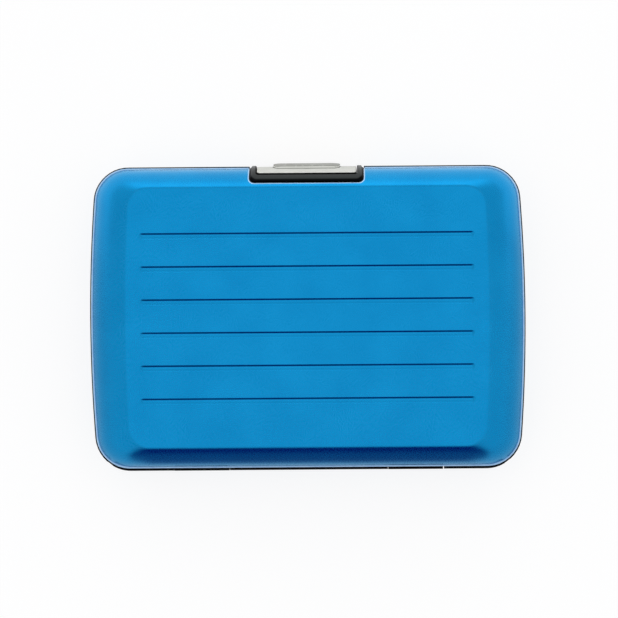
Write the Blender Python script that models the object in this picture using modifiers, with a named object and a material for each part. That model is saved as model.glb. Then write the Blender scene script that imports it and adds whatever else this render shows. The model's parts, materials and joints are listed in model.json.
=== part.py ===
"""Credit card holder: two stamped aluminium shells on black moulded frames, hinged along one long side
and held shut by a sprung clasp, round a card accordion of seven pockets.

Metres, +Z up. The case lies closed on its rear shell, with the clasp towards +Y. Both halves are drawn
in the same way, from the seam plane upwards, and the rear half is then turned over about the Y axis."""

import math

import bmesh
import bpy
import numpy as np
from mathutils import Matrix, Vector

# Outside of the case
CASE_DEPTH = 0.021
SHELL_WIDTH = 0.1095
SHELL_HEIGHT = 0.07575
SHELL_CORNER = 0.0077
SHELL_BULGE = 0.0018
SHELL_WALL = 0.0009
SHELL_TURN_DEG = 52.0

# Flat face of a shell, and how far its crease lies inside the rim at the short and the long sides
SIDE_RUN = 0.009025
LONG_RUN = 0.004975
FACE_CORNER = 0.005
FACE_BULGE = 0.001

# Pressed grooves of the face
GROOVE_COUNT = 6
GROOVE_MARGIN = 0.003725
GROOVE_INSET = 0.0119
GROOVE_WIDTH = 0.001
GROOVE_DEPTH = 0.0004

# Clearance between neighbours, and how far a cutter runs past what it cuts
FIT = 0.0003
OVERRUN = 0.002

# Moulded frame at the seam
FLANGE = 0.0005
LIP = 0.00025
FRAME_WALL = 0.0012
FRAME_RISE = 0.0043

# Liner tray
LINER_WALL = 0.0006

# Hinge
BARREL_RADIUS = 0.0012
HINGE_INSET = 0.00052
HINGE_PIN_RADIUS = 0.0004
HINGE_MARGIN = 0.00875
MIDDLE_KNUCKLE = 0.014
END_KNUCKLE = 0.012
BARREL_RUNOUT = 0.0035
RUNOUT_STEP = 0.00005
HINGE_PIN_HOLD = 0.006

# Notch of a shell for the clasp, as seen from the front
NOTCH_WIDTH = 0.02885
NOTCH_DROP = 0.00418
NOTCH_CORNER = 0.0016

# Clasp housing: the bezel's bar and the sunk border beyond it are measured as seen from the front
WINDOW_CORNER = 0.0008
BEZEL_ARM = 0.001625
BEZEL_BAR = 0.00156
BEZEL_BORDER = 0.001
BEZEL_EDGE = 0.0004
BEZEL_CORNER = 0.0022
BEZEL_PROUD = 0.0005
BEZEL_DROP = 0.0006
BEZEL_ROOT = 0.0005
HOUSING_WALL = 0.001
CATCH_WIDTH = 0.012
CATCH_THICKNESS = 0.0012
CATCH_GAP = 0.0009

# Clasp lever
PLATE_THICKNESS = 0.001
PLATE_PROUD = 0.00015
PRESS_GAP = 0.0006
PLATE_CORNER = 0.0005
PAD_WIDTH = 0.017
PAD_MARGIN = 0.00222
PAD_CORNER = 0.0013
PAD_EDGE = 0.0005
PAD_CREST = 0.0009
PIVOT_MARGIN = 0.00322
PIVOT_INSET = 0.0033
CLASP_PIN_RADIUS = 0.0005
CLASP_PIN_HOLD = 0.001
EAR_RADIUS = 0.0015
EAR_CLEAR = 0.0006
EAR_THICKNESS = 0.0012
EAR_SETBACK = 0.002
HOOK_WIDTH = 0.010
HOOK_MARGIN = 0.001
HOOK_RISE = 0.0012
HOOK_NOSE = 0.0003
HOOK_GRIP = 0.0011

# Clasp spring
SPRING_WIRE_RADIUS = 0.000175
SPRING_PITCH = 0.0008
SPRING_TURNS = 6
SPRING_WALL_LEG = 0.0023
SPRING_PLATE_LEG = 0.0021
SPRING_ENTRY_DEG = 198.0
SPRING_EXIT_DEG = 225.0

# Card accordion
POCKETS = 7
FILM = 0.0004
GUSSET_FILM = 0.0003
DIVIDER_MARGIN = 0.00875
DIVIDER_FOOT = 0.006
CARD_TOP_ROOM = 0.02175
DIVIDER_CORNER = 0.003
END_WALL_STEP = 0.003
END_WALL_LIFT = 0.0012
END_WALL_CORNER = 0.002
GUSSET_DROP = 0.003
GUSSET_FOLD = 0.002
BASE_MARGIN = 0.005
BASE_FOLD = 0.00065
FOLD_FLAT = 0.0007
TAB_LENGTH = 0.0018

# Steps of the curved outlines
CORNER_STEPS = 11
SIDE_STEPS = 6
ARC_STEPS = 7
INNER_ARC_STEPS = 4
PATH_SAMPLES = 64
BARREL_SIDES = 24
PIN_SIDES = 16
FILLET_STEPS = 5
GROOVE_SIDES = 12
COIL_STEPS = 9

# Sizes and places that follow from the driving ones
SEAM_Z = CASE_DEPTH / 2
FRAME_SEAT = FIT / 2
FLANGE_TOP = FRAME_SEAT + FLANGE
RIM_Z = FLANGE_TOP + FIT
SHELL_DEPTH = SEAM_Z - RIM_Z
HALF_HEIGHT = SHELL_HEIGHT / 2
FACE_WIDTH = SHELL_WIDTH - 2 * SIDE_RUN
FACE_HEIGHT = SHELL_HEIGHT - 2 * LONG_RUN
GROOVE_LENGTH = FACE_WIDTH - 2 * GROOVE_MARGIN
GROOVE_PITCH = (FACE_HEIGHT - 2 * GROOVE_INSET) / (GROOVE_COUNT - 1)
LINER_INSET = SHELL_WALL + FIT
LINER_FLOOR_INSET = LINER_INSET + LINER_WALL
WALL_STACK = SEAM_Z - LINER_FLOOR_INSET - FIT - FILM / 2
HINGE_LIP = BARREL_RADIUS - HINGE_INSET
HINGE_Y = HINGE_INSET - HALF_HEIGHT
HINGE_EDGE = SHELL_WIDTH / 2 - HINGE_MARGIN
END_EDGE = HINGE_EDGE - END_KNUCKLE
MIDDLE_EDGE = END_EDGE - MIDDLE_KNUCKLE
HOUSING_HALF = NOTCH_WIDTH / 2 - FIT
WINDOW_HALF = HOUSING_HALF - BEZEL_ARM
HOUSING_DEPTH = PIVOT_INSET + EAR_RADIUS + EAR_CLEAR + HOUSING_WALL
PIVOT_Y = HALF_HEIGHT - PIVOT_INSET
BACK_Y = HALF_HEIGHT - HOUSING_DEPTH
WINDOW_FLOOR_Y = BACK_Y + HOUSING_WALL
NOTCH_Y = HALF_HEIGHT - NOTCH_DROP
DIVIDER_WIDTH = SHELL_WIDTH - 2 * DIVIDER_MARGIN
DIVIDER_FOOT_Y = DIVIDER_FOOT - HALF_HEIGHT
DIVIDER_TOP_Y = HALF_HEIGHT - CARD_TOP_ROOM
END_WALL_WIDTH = DIVIDER_WIDTH - 2 * END_WALL_STEP
END_WALL_FOOT_Y = DIVIDER_FOOT_Y + END_WALL_LIFT
BASE_WIDTH = DIVIDER_WIDTH - 2 * BASE_MARGIN

ALONG_X = Matrix(((0, 0, 1, 0), (1, 0, 0, 0), (0, 1, 0, 0), (0, 0, 0, 1)))
ALONG_Y = Matrix(((1, 0, 0, 0), (0, 0, -1, 0), (0, 1, 0, 0), (0, 0, 0, 1)))


def make_collection(name):
    """A new collection in the scene."""
    collection = bpy.data.collections.new(name)
    bpy.context.scene.collection.children.link(collection)
    return collection


def make_material(name, colour, roughness, metallic):
    """A Principled material with one colour."""
    material = bpy.data.materials.new(name)
    material.use_nodes = True
    shader = material.node_tree.nodes["Principled BSDF"]
    shader.inputs["Base Color"].default_value = (*colour, 1.0)
    shader.inputs["Roughness"].default_value = roughness
    shader.inputs["Metallic"].default_value = metallic
    material.diffuse_color = (*colour, 1.0)
    return material


def anodised_material(node):
    """Blue anodised aluminium."""
    return make_material(node + "_finish", (0.006, 0.27, 0.60), 0.42, 0.9)


def moulding_material(node):
    """Black moulded plastic."""
    return make_material(node + "_finish", (0.012, 0.013, 0.015), 0.45, 0.0)


def clasp_material(node):
    """Light grey plastic of the clasp."""
    return make_material(node + "_finish", (0.66, 0.66, 0.62), 0.35, 0.0)


def steel_material(node):
    """Bright steel of pins and spring."""
    return make_material(node + "_finish", (0.62, 0.62, 0.60), 0.3, 1.0)


def film_material(node):
    """Dark grey film of the pockets."""
    return make_material(node + "_finish", (0.03, 0.03, 0.032), 0.5, 0.0)


def tidy_mesh(mesh, matrix):
    """Joins doubled points, turns the faces outwards and applies a matrix."""
    bm = bmesh.new()
    bm.from_mesh(mesh)
    bmesh.ops.remove_doubles(bm, verts=bm.verts, dist=FIT / 100)
    bmesh.ops.recalc_face_normals(bm, faces=bm.faces)
    bm.to_mesh(mesh)
    bm.free()
    mesh.transform(matrix)


def new_object(name, mesh, collection):
    """An object in a collection."""
    piece = bpy.data.objects.new(name, mesh)
    collection.objects.link(piece)
    return piece


def baked(source, name, matrix, collection):
    """A curve or a modified object made a plain mesh object; the source is removed."""
    bpy.context.view_layer.update()
    graph = bpy.context.evaluated_depsgraph_get()
    mesh = bpy.data.meshes.new_from_object(source.evaluated_get(graph))
    mesh.name = name
    tidy_mesh(mesh, matrix)
    bpy.data.objects.remove(source, do_unlink=True)
    return new_object(name, mesh, collection)


def slab(name, outline, low, high, matrix, collection):
    """A flat outline extruded from low to high along its own normal, then set by a matrix."""
    curve = bpy.data.curves.new(name, "CURVE")
    curve.dimensions = "2D"
    curve.fill_mode = "BOTH"
    curve.extrude = (high - low) / 2
    spline = curve.splines.new("POLY")
    spline.points.add(len(outline) - 1)
    for point, (u, v) in zip(spline.points, outline):
        point.co = (u, v, 0, 1)
    spline.use_cyclic_u = True
    middle = Matrix.Translation((0, 0, (low + high) / 2))
    return baked(new_object(name, curve, collection), name, matrix @ middle, collection)


def rod(name, radius, low, high, y, z, sides, collection):
    """A cylinder along X from low to high, at a place in the YZ plane."""
    bm = bmesh.new()
    turn = ALONG_X.copy()
    turn.translation = ((low + high) / 2, y, z)
    bmesh.ops.create_cone(
        bm, cap_ends=True, segments=sides, radius1=radius, radius2=radius, depth=high - low, matrix=turn
    )
    mesh = bpy.data.meshes.new(name)
    bm.to_mesh(mesh)
    bm.free()
    return new_object(name, mesh, collection)


def box_outline(left, right, bottom, top):
    """Corners of an upright rectangle, counterclockwise."""
    return [(left, bottom), (right, bottom), (right, top), (left, top)]


def round_outline(left, right, bottom, top, corner):
    """A rectangle with four round corners, counterclockwise."""
    corner = min(corner, (right - left) / 2, (top - bottom) / 2)
    centres = [
        (right - corner, top - corner),
        (left + corner, top - corner),
        (left + corner, bottom + corner),
        (right - corner, bottom + corner),
    ]
    points = []
    for quarter, (u, v) in enumerate(centres):
        for step in range(FILLET_STEPS + 1):
            angle = math.pi / 2 * (quarter + step / FILLET_STEPS)
            points.append((u + corner * math.cos(angle), v + corner * math.sin(angle)))
    return points


def quarter_outline(width, height, corner, bulge, start_x, end_y):
    """Evenly spaced points from the long side round the corner to the short side."""
    half_width = width / 2 - bulge
    half_height = height / 2
    angles = np.linspace(math.pi / 2, 0, PATH_SAMPLES)
    x = np.concatenate([[start_x], half_width - corner + corner * np.cos(angles), [half_width]])
    y = np.concatenate([[half_height], half_height - corner + corner * np.sin(angles), [end_y]])
    run = np.concatenate([[0], np.cumsum(np.hypot(np.diff(x), np.diff(y)))])
    at = np.linspace(0, run[-1], CORNER_STEPS + 1)
    return np.column_stack([np.interp(at, run, x), np.interp(at, run, y)])


def case_outline(width, height, corner, bulge):
    """The case's outline at one size: straight long sides, bowed short sides, round corners.

    Points of the rim and of the crease with the same index face each other across the side wall."""
    start_x = FACE_WIDTH / 2 - FACE_BULGE - FACE_CORNER
    end_y = FACE_HEIGHT / 2 - FACE_CORNER
    quarter = quarter_outline(width, height, corner, bulge, start_x, end_y)
    sides = np.linspace(end_y, -end_y, SIDE_STEPS + 1)[1:-1]
    side = np.column_stack([np.full(len(sides), width / 2 - bulge), sides])
    right = np.concatenate([quarter, side, quarter[::-1] * (1, -1)])
    points = np.concatenate([right, -right])
    half_width = width / 2 - bulge
    bow = 1 + bulge / half_width * (1 - (points[:, 1] / (height / 2)) ** 2)
    return points * np.column_stack([bow, np.ones(len(bow))])


RIM = case_outline(SHELL_WIDTH, SHELL_HEIGHT, SHELL_CORNER, SHELL_BULGE)
CREASE = case_outline(FACE_WIDTH, FACE_HEIGHT, FACE_CORNER, FACE_BULGE)
RUN = np.linalg.norm(CREASE - RIM, axis=1)
INWARD = (CREASE - RIM) / RUN[:, None]
SPREAD = math.radians(SHELL_TURN_DEG) / 2
CLIMB = np.arctan2(SHELL_DEPTH, RUN)
WALL_RADIUS = np.hypot(SHELL_DEPTH, RUN) / (2 * math.sin(SPREAD))
CENTRE_IN = WALL_RADIUS * np.sin(CLIMB + SPREAD)
CENTRE_UP = -WALL_RADIUS * np.cos(CLIMB + SPREAD)


def lip_outline(step):
    """The frame lip's outline, a step inside its edge: even at the clasp side and the ends, and out to the
    hinge barrels at the hinge side."""
    width = SHELL_WIDTH + 2 * (LIP - step)
    upper_lip, lower_lip = LIP - step, HINGE_LIP - step
    upper = case_outline(width, SHELL_HEIGHT + 2 * upper_lip, SHELL_CORNER + upper_lip, SHELL_BULGE)
    lower = case_outline(width, SHELL_HEIGHT + 2 * lower_lip, SHELL_CORNER + lower_lip, SHELL_BULGE)
    return np.where(upper[:, 1:] < 0, lower, upper)


def wall_setback(z, inset):
    """How far a surface lies inside the rim's outline at a height over the seam plane.

    The shell's side wall is an arc at each point of the outline; inset is the depth below its skin."""
    rise = max(z - RIM_Z, 0) - CENTRE_UP
    reach = np.maximum((WALL_RADIUS - inset) ** 2 - rise**2, 0)
    return CENTRE_IN - np.sqrt(reach)


def wall_ring(z, inset):
    """Ring of points round the case, parallel to the shell's skin."""
    flat = RIM + INWARD * wall_setback(z, inset)[:, None]
    return np.column_stack([flat, np.full(len(flat), z)])


def wall_y(z, inset):
    """Y of the clasp side's straight wall, at a height over the seam plane and a depth below its skin."""
    return HALF_HEIGHT - float(wall_setback(abs(z), inset)[0])


def skin_height(y, inset):
    """Height over the seam plane at which a surface below the clasp side's skin reaches a Y."""
    across = CENTRE_IN[0] - (HALF_HEIGHT - y)
    return RIM_Z + float(CENTRE_UP[0]) + math.sqrt((WALL_RADIUS[0] - inset) ** 2 - across**2)


def skin_arc(low_z, high_z, inset):
    """Points (y, z) along the clasp side's wall between two heights of one half."""
    return [(wall_y(z, inset), z) for z in np.linspace(low_z, high_z, ARC_STEPS + 1)]


# Heights over the seam plane of the clasp's window, bezel, catch and pivot
WINDOW_RISE = skin_height(NOTCH_Y + BEZEL_BORDER + BEZEL_BAR, 0)
BAR_TOP = skin_height(NOTCH_Y + BEZEL_BORDER, 0)
CATCH_TOP = WINDOW_RISE - HOOK_MARGIN - HOOK_RISE - FIT
CATCH_TIP_Y = wall_y(CATCH_TOP, PLATE_THICKNESS) - CATCH_GAP
PIVOT_DROP = WINDOW_RISE - PIVOT_MARGIN
PAD_HALF = WINDOW_RISE - PAD_MARGIN


def lofted(name, rings, closed, collection):
    """A solid through rings of equal count: a tube whose ends are capped, or one that closes on itself."""
    count = len(rings[0])
    links = len(rings) if closed else len(rings) - 1
    faces = []
    for ring in range(links):
        low = ring * count
        high = (ring + 1) % len(rings) * count
        for point in range(count):
            after = (point + 1) % count
            faces.append((low + point, low + after, high + after, high + point))
    if not closed:
        last = (len(rings) - 1) * count
        faces.append(tuple(reversed(range(count))))
        faces.append(tuple(range(last, last + count)))
    mesh = bpy.data.meshes.new(name)
    mesh.from_pydata(np.concatenate(rings).tolist(), [], faces)
    tidy_mesh(mesh, Matrix.Identity(4))
    return new_object(name, mesh, collection)


def dish(name, open_z, inset, wall, collection):
    """A dish that follows the shell's skin at a depth below it, open towards the seam."""
    inner_top = SEAM_Z - inset - wall
    outer_top = SEAM_Z - inset
    rings = [wall_ring(z, inset + wall) for z in np.linspace(inner_top, open_z, INNER_ARC_STEPS + 1)]
    rings += [wall_ring(z, inset) for z in np.linspace(open_z, outer_top, ARC_STEPS + 1)]
    return lofted(name, rings, False, collection)


def boolean(piece, other, operation):
    """A live Boolean on a piece."""
    modifier = piece.modifiers.new(operation.lower(), "BOOLEAN")
    modifier.operation = operation
    modifier.solver = "EXACT"
    modifier.object = other
    other.hide_render = True
    other.display_type = "WIRE"


def finish(piece, material):
    """Gives a piece its material and smooth shading across shallow edges."""
    piece.data.materials.clear()
    piece.data.materials.append(material)
    piece.data.shade_smooth()
    piece.data.set_sharp_from_angle(angle=math.radians(30))
    return piece


def axis_empty(name, y, z, collection):
    """An empty on a joint's axis, placed by its height over the seam plane."""
    empty = bpy.data.objects.new(name, None)
    empty.location = (0, y, SEAM_Z + z)
    collection.objects.link(empty)
    return empty


def place(pieces, axis):
    """Sets pieces that are drawn from the seam's middle on the case, carried by a joint's empty."""
    for piece in pieces:
        piece.parent = axis
        piece.location = Vector((0, 0, SEAM_Z)) - axis.location


def place_turned(pieces):
    """Sets pieces of the rear half on the case, turned over about the Y axis."""
    for piece in pieces:
        piece.location = (0, 0, SEAM_Z)
        piece.rotation_euler = (0, math.pi, 0)


def place_upright(pieces):
    """Sets pieces that belong to the rear body but are drawn the right way up."""
    for piece in pieces:
        piece.location = (0, 0, SEAM_Z)


def groove_cutter(name, collection):
    """Capsules along X that press the round-bottomed grooves into a face."""
    radius = (GROOVE_WIDTH**2 / 4 + GROOVE_DEPTH**2) / (2 * GROOVE_DEPTH)
    middle = (GROOVE_LENGTH - GROOVE_WIDTH) / 2
    angles = [math.pi / 2 * step / FILLET_STEPS for step in range(FILLET_STEPS + 1)]
    cap = [(radius * math.sin(a), middle + radius * math.cos(a)) for a in angles]
    profile = cap + [(r, -h) for r, h in reversed(cap)]
    mesh = bpy.data.meshes.new(name)
    edges = [(i, i + 1) for i in range(len(profile) - 1)]
    mesh.from_pydata([(r, 0, h) for r, h in profile], edges, [])
    lathe = new_object(name + "_profile", mesh, collection)
    screw = lathe.modifiers.new("turn", "SCREW")
    screw.steps = GROOVE_SIDES
    screw.render_steps = GROOVE_SIDES
    screw.use_merge_vertices = True
    screw.merge_threshold = FIT / 100
    seat = Matrix.Translation((0, GROOVE_INSET - FACE_HEIGHT / 2, SEAM_Z - GROOVE_DEPTH + radius))
    capsule = baked(lathe, name, seat @ Matrix.Rotation(math.pi / 2, 4, "Y"), collection)
    rows = capsule.modifiers.new("rows", "ARRAY")
    rows.count = GROOVE_COUNT
    rows.use_relative_offset = False
    rows.use_constant_offset = True
    rows.constant_offset_displace = (0, GROOVE_PITCH, 0)
    return capsule


def notch_prism(name, clearance, collection):
    """The clasp's notch, a round-cornered slot seen from the front, narrowed by a clearance."""
    bottom = NOTCH_Y + clearance
    half = NOTCH_WIDTH / 2 - clearance
    outline = round_outline(-half, half, bottom, HALF_HEIGHT + NOTCH_DROP, NOTCH_CORNER - clearance)
    return slab(name, outline, -OVERRUN, SEAM_Z + OVERRUN, Matrix.Identity(4), collection)


def make_shell(node, parts, cutters):
    """One stamped shell: the lofted dish, its grooves, its clasp notch and its hinge relief."""
    shell = dish(node, RIM_Z, 0, SHELL_WALL, parts)
    grooves = groove_cutter(node + "_grooves", cutters)
    notch = notch_prism(node + "_notch", 0, cutters)
    reach = SHELL_WIDTH / 2 + OVERRUN
    relief = rod(node + "_relief", BARREL_RADIUS + FIT, -reach, reach, HINGE_Y, 0, BARREL_SIDES, cutters)
    for cutter in (grooves, notch, relief):
        boolean(shell, cutter, "DIFFERENCE")
    finish(shell, anodised_material(node))
    return [shell, grooves, notch, relief]


def knuckle_spans(ends_and_centre, far):
    """X spans of one frame's knuckles: the centre and both ends out to a far X, or the two between them."""
    if ends_and_centre:
        return [(-far, -END_EDGE), (-MIDDLE_EDGE, MIDDLE_EDGE), (END_EDGE, far)]
    return [(-END_EDGE, -MIDDLE_EDGE), (MIDDLE_EDGE, END_EDGE)]


def make_rim_ring(node, parts):
    """The frame's ring of L section, with its lip at the seam."""
    lip = lip_outline(0)
    rings = [np.column_stack([lip, np.full(len(lip), z)]) for z in (FRAME_SEAT, FLANGE_TOP)]
    inner = LINER_INSET + FRAME_WALL
    section = [(FLANGE_TOP, LINER_INSET), (FRAME_RISE, LINER_INSET), (FRAME_RISE, inner), (FRAME_SEAT, inner)]
    rings += [wall_ring(z, inset) for z, inset in section]
    return lofted(node, rings, True, parts)


def make_knuckle(name, low, high, cutters):
    """One hinge barrel, trimmed to the lip's outline where it runs out into a corner of the case."""
    barrel = rod(name, BARREL_RADIUS, low, high, HINGE_Y, 0, BARREL_SIDES, cutters)
    if max(-low, high) <= HINGE_EDGE:
        return [barrel]
    outline = lip_outline(RUNOUT_STEP).tolist()
    reach = BARREL_RADIUS + OVERRUN
    trim = slab(name + "_trim", outline, -reach, reach, Matrix.Identity(4), cutters)
    boolean(barrel, trim, "INTERSECT")
    return [barrel, trim]


def make_frame(node, ends_and_centre, parts, cutters):
    """One moulded frame: its ring, relieved for the other frame's knuckles, its own knuckles, the bores for
    the hinge pins and the gap for the clasp."""
    frame = make_rim_ring(node, parts)
    tools = []
    for low, high in knuckle_spans(not ends_and_centre, SHELL_WIDTH / 2 + OVERRUN):
        name = f"{node}_relief_{len(tools)}"
        sides = (low - FIT / 2, high + FIT / 2)
        tools.append(rod(name, BARREL_RADIUS + FIT, *sides, HINGE_Y, 0, BARREL_SIDES, cutters))
        boolean(frame, tools[-1], "DIFFERENCE")
    for low, high in knuckle_spans(ends_and_centre, HINGE_EDGE + BARREL_RUNOUT):
        name = f"{node}_barrel_{len(tools)}"
        barrel = make_knuckle(name, low + FIT / 2, high - FIT / 2, cutters)
        boolean(frame, barrel[0], "UNION")
        tools += barrel
    for side in (-1, 1):
        ends = sorted((side * (MIDDLE_EDGE - HINGE_PIN_HOLD - FIT), side * HINGE_EDGE))
        name = f"{node}_bore_{side + 1}"
        tools.append(rod(name, HINGE_PIN_RADIUS + FIT, *ends, HINGE_Y, 0, PIN_SIDES, cutters))
        boolean(frame, tools[-1], "DIFFERENCE")
    half = NOTCH_WIDTH / 2
    gap = box_outline(-half, half, 0, HALF_HEIGHT + OVERRUN)
    tools.append(slab(node + "_clasp_gap", gap, -OVERRUN, SEAM_Z, Matrix.Identity(4), cutters))
    boolean(frame, tools[-1], "DIFFERENCE")
    finish(frame, moulding_material(node))
    return [frame, *tools]


def make_liner(node, parts, cutters):
    """One moulded tray inside a shell, cut away round the clasp housing."""
    liner = dish(node, FRAME_RISE + FIT, LINER_INSET, LINER_WALL, parts)
    cut = slab(
        node + "_cut",
        box_outline(-NOTCH_WIDTH / 2, NOTCH_WIDTH / 2, BACK_Y - FIT, HALF_HEIGHT + OVERRUN),
        -OVERRUN, SEAM_Z, Matrix.Identity(4), cutters,
    )
    boolean(liner, cut, "DIFFERENCE")
    finish(liner, moulding_material(node))
    return [liner, cut]


def skin_band(low_z, high_z, outer_inset, inner_inset):
    """YZ outline of a strip of the clasp side's wall between two depths below the skin."""
    return skin_arc(low_z, high_z, outer_inset) + skin_arc(low_z, high_z, inner_inset)[::-1]


def make_bezel(node, cutters):
    """What stands in the shell's notch: a sunk base to the notch's outline, and the raised bezel on it."""
    half = HOUSING_HALF
    root = LINER_INSET + BEZEL_ROOT
    base_band = skin_band(FRAME_SEAT, skin_height(NOTCH_Y, BEZEL_DROP), BEZEL_DROP, root)
    base = slab(node + "_base", base_band, -half, half, ALONG_X, cutters)
    notch_trim = notch_prism(node + "_notch_trim", FIT, cutters)
    boolean(base, notch_trim, "INTERSECT")
    band = skin_band(FRAME_SEAT, BAR_TOP + BEZEL_BORDER, -BEZEL_PROUD, root)
    bezel = slab(node + "_bezel", band, -half, half, ALONG_X, cutters)
    bezel_half = half - BEZEL_EDGE
    outline = round_outline(-bezel_half, bezel_half, -BAR_TOP, BAR_TOP, BEZEL_CORNER)
    bezel_trim = slab(node + "_bezel_trim", outline, -HALF_HEIGHT - OVERRUN, 0, ALONG_Y, cutters)
    boolean(bezel, bezel_trim, "INTERSECT")
    boolean(bezel, notch_trim, "INTERSECT")
    return [base, bezel, notch_trim, bezel_trim]


def make_window(name, cutters):
    """The round-cornered opening that the lever's plate sits in."""
    outline = round_outline(-WINDOW_HALF, WINDOW_HALF, -WINDOW_RISE, WINDOW_RISE, WINDOW_CORNER)
    return slab(name, outline, -HALF_HEIGHT - OVERRUN, -WINDOW_FLOOR_Y, ALONG_Y, cutters)


def make_catch(name, cutters):
    """The ledge behind the window that the lever's hook holds, ramped below."""
    root_y = WINDOW_FLOOR_Y - HOUSING_WALL / 2
    low = CATCH_TOP - CATCH_THICKNESS
    profile = [
        (root_y, low),
        (WINDOW_FLOOR_Y, low),
        (CATCH_TIP_Y, CATCH_TOP - HOOK_NOSE),
        (CATCH_TIP_Y, CATCH_TOP),
        (root_y, CATCH_TOP),
    ]
    return slab(name, profile, -CATCH_WIDTH / 2, CATCH_WIDTH / 2, ALONG_X, cutters)


def make_housing(node, is_front, parts, cutters):
    """One clasp housing: block, bezel, window, and the front one's catch or the rear one's pin holes."""
    ceiling = SEAM_Z - LINER_INSET
    block = skin_arc(FRAME_SEAT, ceiling, LINER_INSET) + [(BACK_Y, ceiling), (BACK_Y, FRAME_SEAT)]
    housing = slab(node, block, -HOUSING_HALF, HOUSING_HALF, ALONG_X, parts)
    tools = make_bezel(node, cutters)
    for addition in tools[:2]:
        boolean(housing, addition, "UNION")
    tools.append(make_window(node + "_window", cutters))
    boolean(housing, tools[-1], "DIFFERENCE")
    if is_front:
        tools.append(make_catch(node + "_catch", cutters))
        boolean(housing, tools[-1], "UNION")
    else:
        reach = WINDOW_HALF + CLASP_PIN_HOLD + FIT
        radius = CLASP_PIN_RADIUS + FIT
        tools.append(rod(node + "_holes", radius, -reach, reach, PIVOT_Y, PIVOT_DROP, PIN_SIDES, cutters))
        boolean(housing, tools[-1], "DIFFERENCE")
    finish(housing, moulding_material(node))
    return [housing, *tools]


def make_plate(node, parts, cutters):
    """The lever's plate, flush with both shells across the seam, with round corners."""
    low = PRESS_GAP - WINDOW_RISE
    high = WINDOW_RISE - FIT
    half = WINDOW_HALF - FIT
    heights = np.linspace(low, high, 2 * ARC_STEPS + 1)
    profile = [(wall_y(z, -PLATE_PROUD), z) for z in heights]
    profile += [(wall_y(z, PLATE_THICKNESS), z) for z in reversed(heights)]
    plate = slab(node, profile, -half, half, ALONG_X, parts)
    outline = round_outline(-half, half, low, high, PLATE_CORNER)
    trim = slab(node + "_trim", outline, -HALF_HEIGHT - OVERRUN, 0, ALONG_Y, cutters)
    boolean(plate, trim, "INTERSECT")
    return [plate, trim]


def make_pad(name, cutters):
    """The raised thumb pad: a crowned block trimmed to a round-cornered rectangle."""
    edge_y = wall_y(PAD_HALF, -PLATE_PROUD) + PAD_EDGE
    crest_y = wall_y(0, -PLATE_PROUD) + PAD_CREST
    crown = crest_y - edge_y
    radius = (PAD_HALF**2 + crown**2) / (2 * crown)
    heights = np.linspace(-PAD_HALF, PAD_HALF, 2 * ARC_STEPS + 1)
    profile = [(crest_y - radius + math.sqrt(radius**2 - z**2), z) for z in heights]
    profile += [(wall_y(z, PLATE_THICKNESS / 2), z) for z in reversed(heights)]
    half = PAD_WIDTH / 2
    pad = slab(name, profile, -half, half, ALONG_X, cutters)
    outline = round_outline(-half, half, -PAD_HALF, PAD_HALF, PAD_CORNER)
    trim = slab(name + "_trim", outline, -crest_y - OVERRUN, 0, ALONG_Y, cutters)
    boolean(pad, trim, "INTERSECT")
    return [pad, trim]


def make_hook(name, cutters):
    """The hook over the catch, ramped on top so that the closing catch pushes it aside."""
    low = CATCH_TOP + FIT
    high = low + HOOK_RISE
    tip_y = CATCH_TIP_Y - HOOK_GRIP
    profile = [
        (wall_y(low, PLATE_THICKNESS / 2), low),
        (wall_y(high, PLATE_THICKNESS / 2), high),
        (tip_y, low + HOOK_NOSE),
        (tip_y, low),
    ]
    return slab(name, profile, -HOOK_WIDTH / 2, HOOK_WIDTH / 2, ALONG_X, cutters)


def make_ear(name, side, cutters):
    """One pivot ear of the lever, a round lug on a short web."""
    outer = WINDOW_HALF - FIT - EAR_SETBACK
    low, high = sorted((side * outer, side * (outer - EAR_THICKNESS)))
    angles = np.linspace(math.pi / 2, math.pi * 3 / 2, PIN_SIDES // 2 + 1)
    lug = [(PIVOT_Y + EAR_RADIUS * math.cos(a), EAR_RADIUS * math.sin(a) - PIVOT_DROP) for a in angles]
    web = [(wall_y(z, PLATE_THICKNESS / 2), z) for _, z in (lug[-1], lug[0])]
    return slab(name, lug + web, low, high, ALONG_X, cutters)


def make_lever(parts, cutters):
    """The clasp lever: plate, thumb pad, hook and two pivot ears."""
    node = "clasp_lever"
    lever, plate_trim = make_plate(node, parts, cutters)
    pad = make_pad(node + "_pad", cutters)
    hook = make_hook(node + "_hook", cutters)
    ears = [make_ear(f"{node}_ear_{side + 1}", side, cutters) for side in (-1, 1)]
    for addition in (pad[0], hook, *ears):
        boolean(lever, addition, "UNION")
    radius = CLASP_PIN_RADIUS + FIT
    bore = rod(node + "_bore", radius, -WINDOW_HALF, WINDOW_HALF, PIVOT_Y, -PIVOT_DROP, PIN_SIDES, cutters)
    boolean(lever, bore, "DIFFERENCE")
    finish(lever, clasp_material(node))
    return [lever, plate_trim, *pad, hook, *ears, bore]


def make_clasp_pin(parts):
    """The steel pin that the lever turns on."""
    node = "clasp_pin"
    reach = WINDOW_HALF + CLASP_PIN_HOLD
    pin = rod(node, CLASP_PIN_RADIUS, -reach, reach, PIVOT_Y, -PIVOT_DROP, PIN_SIDES, parts)
    return finish(pin, steel_material(node))


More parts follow.
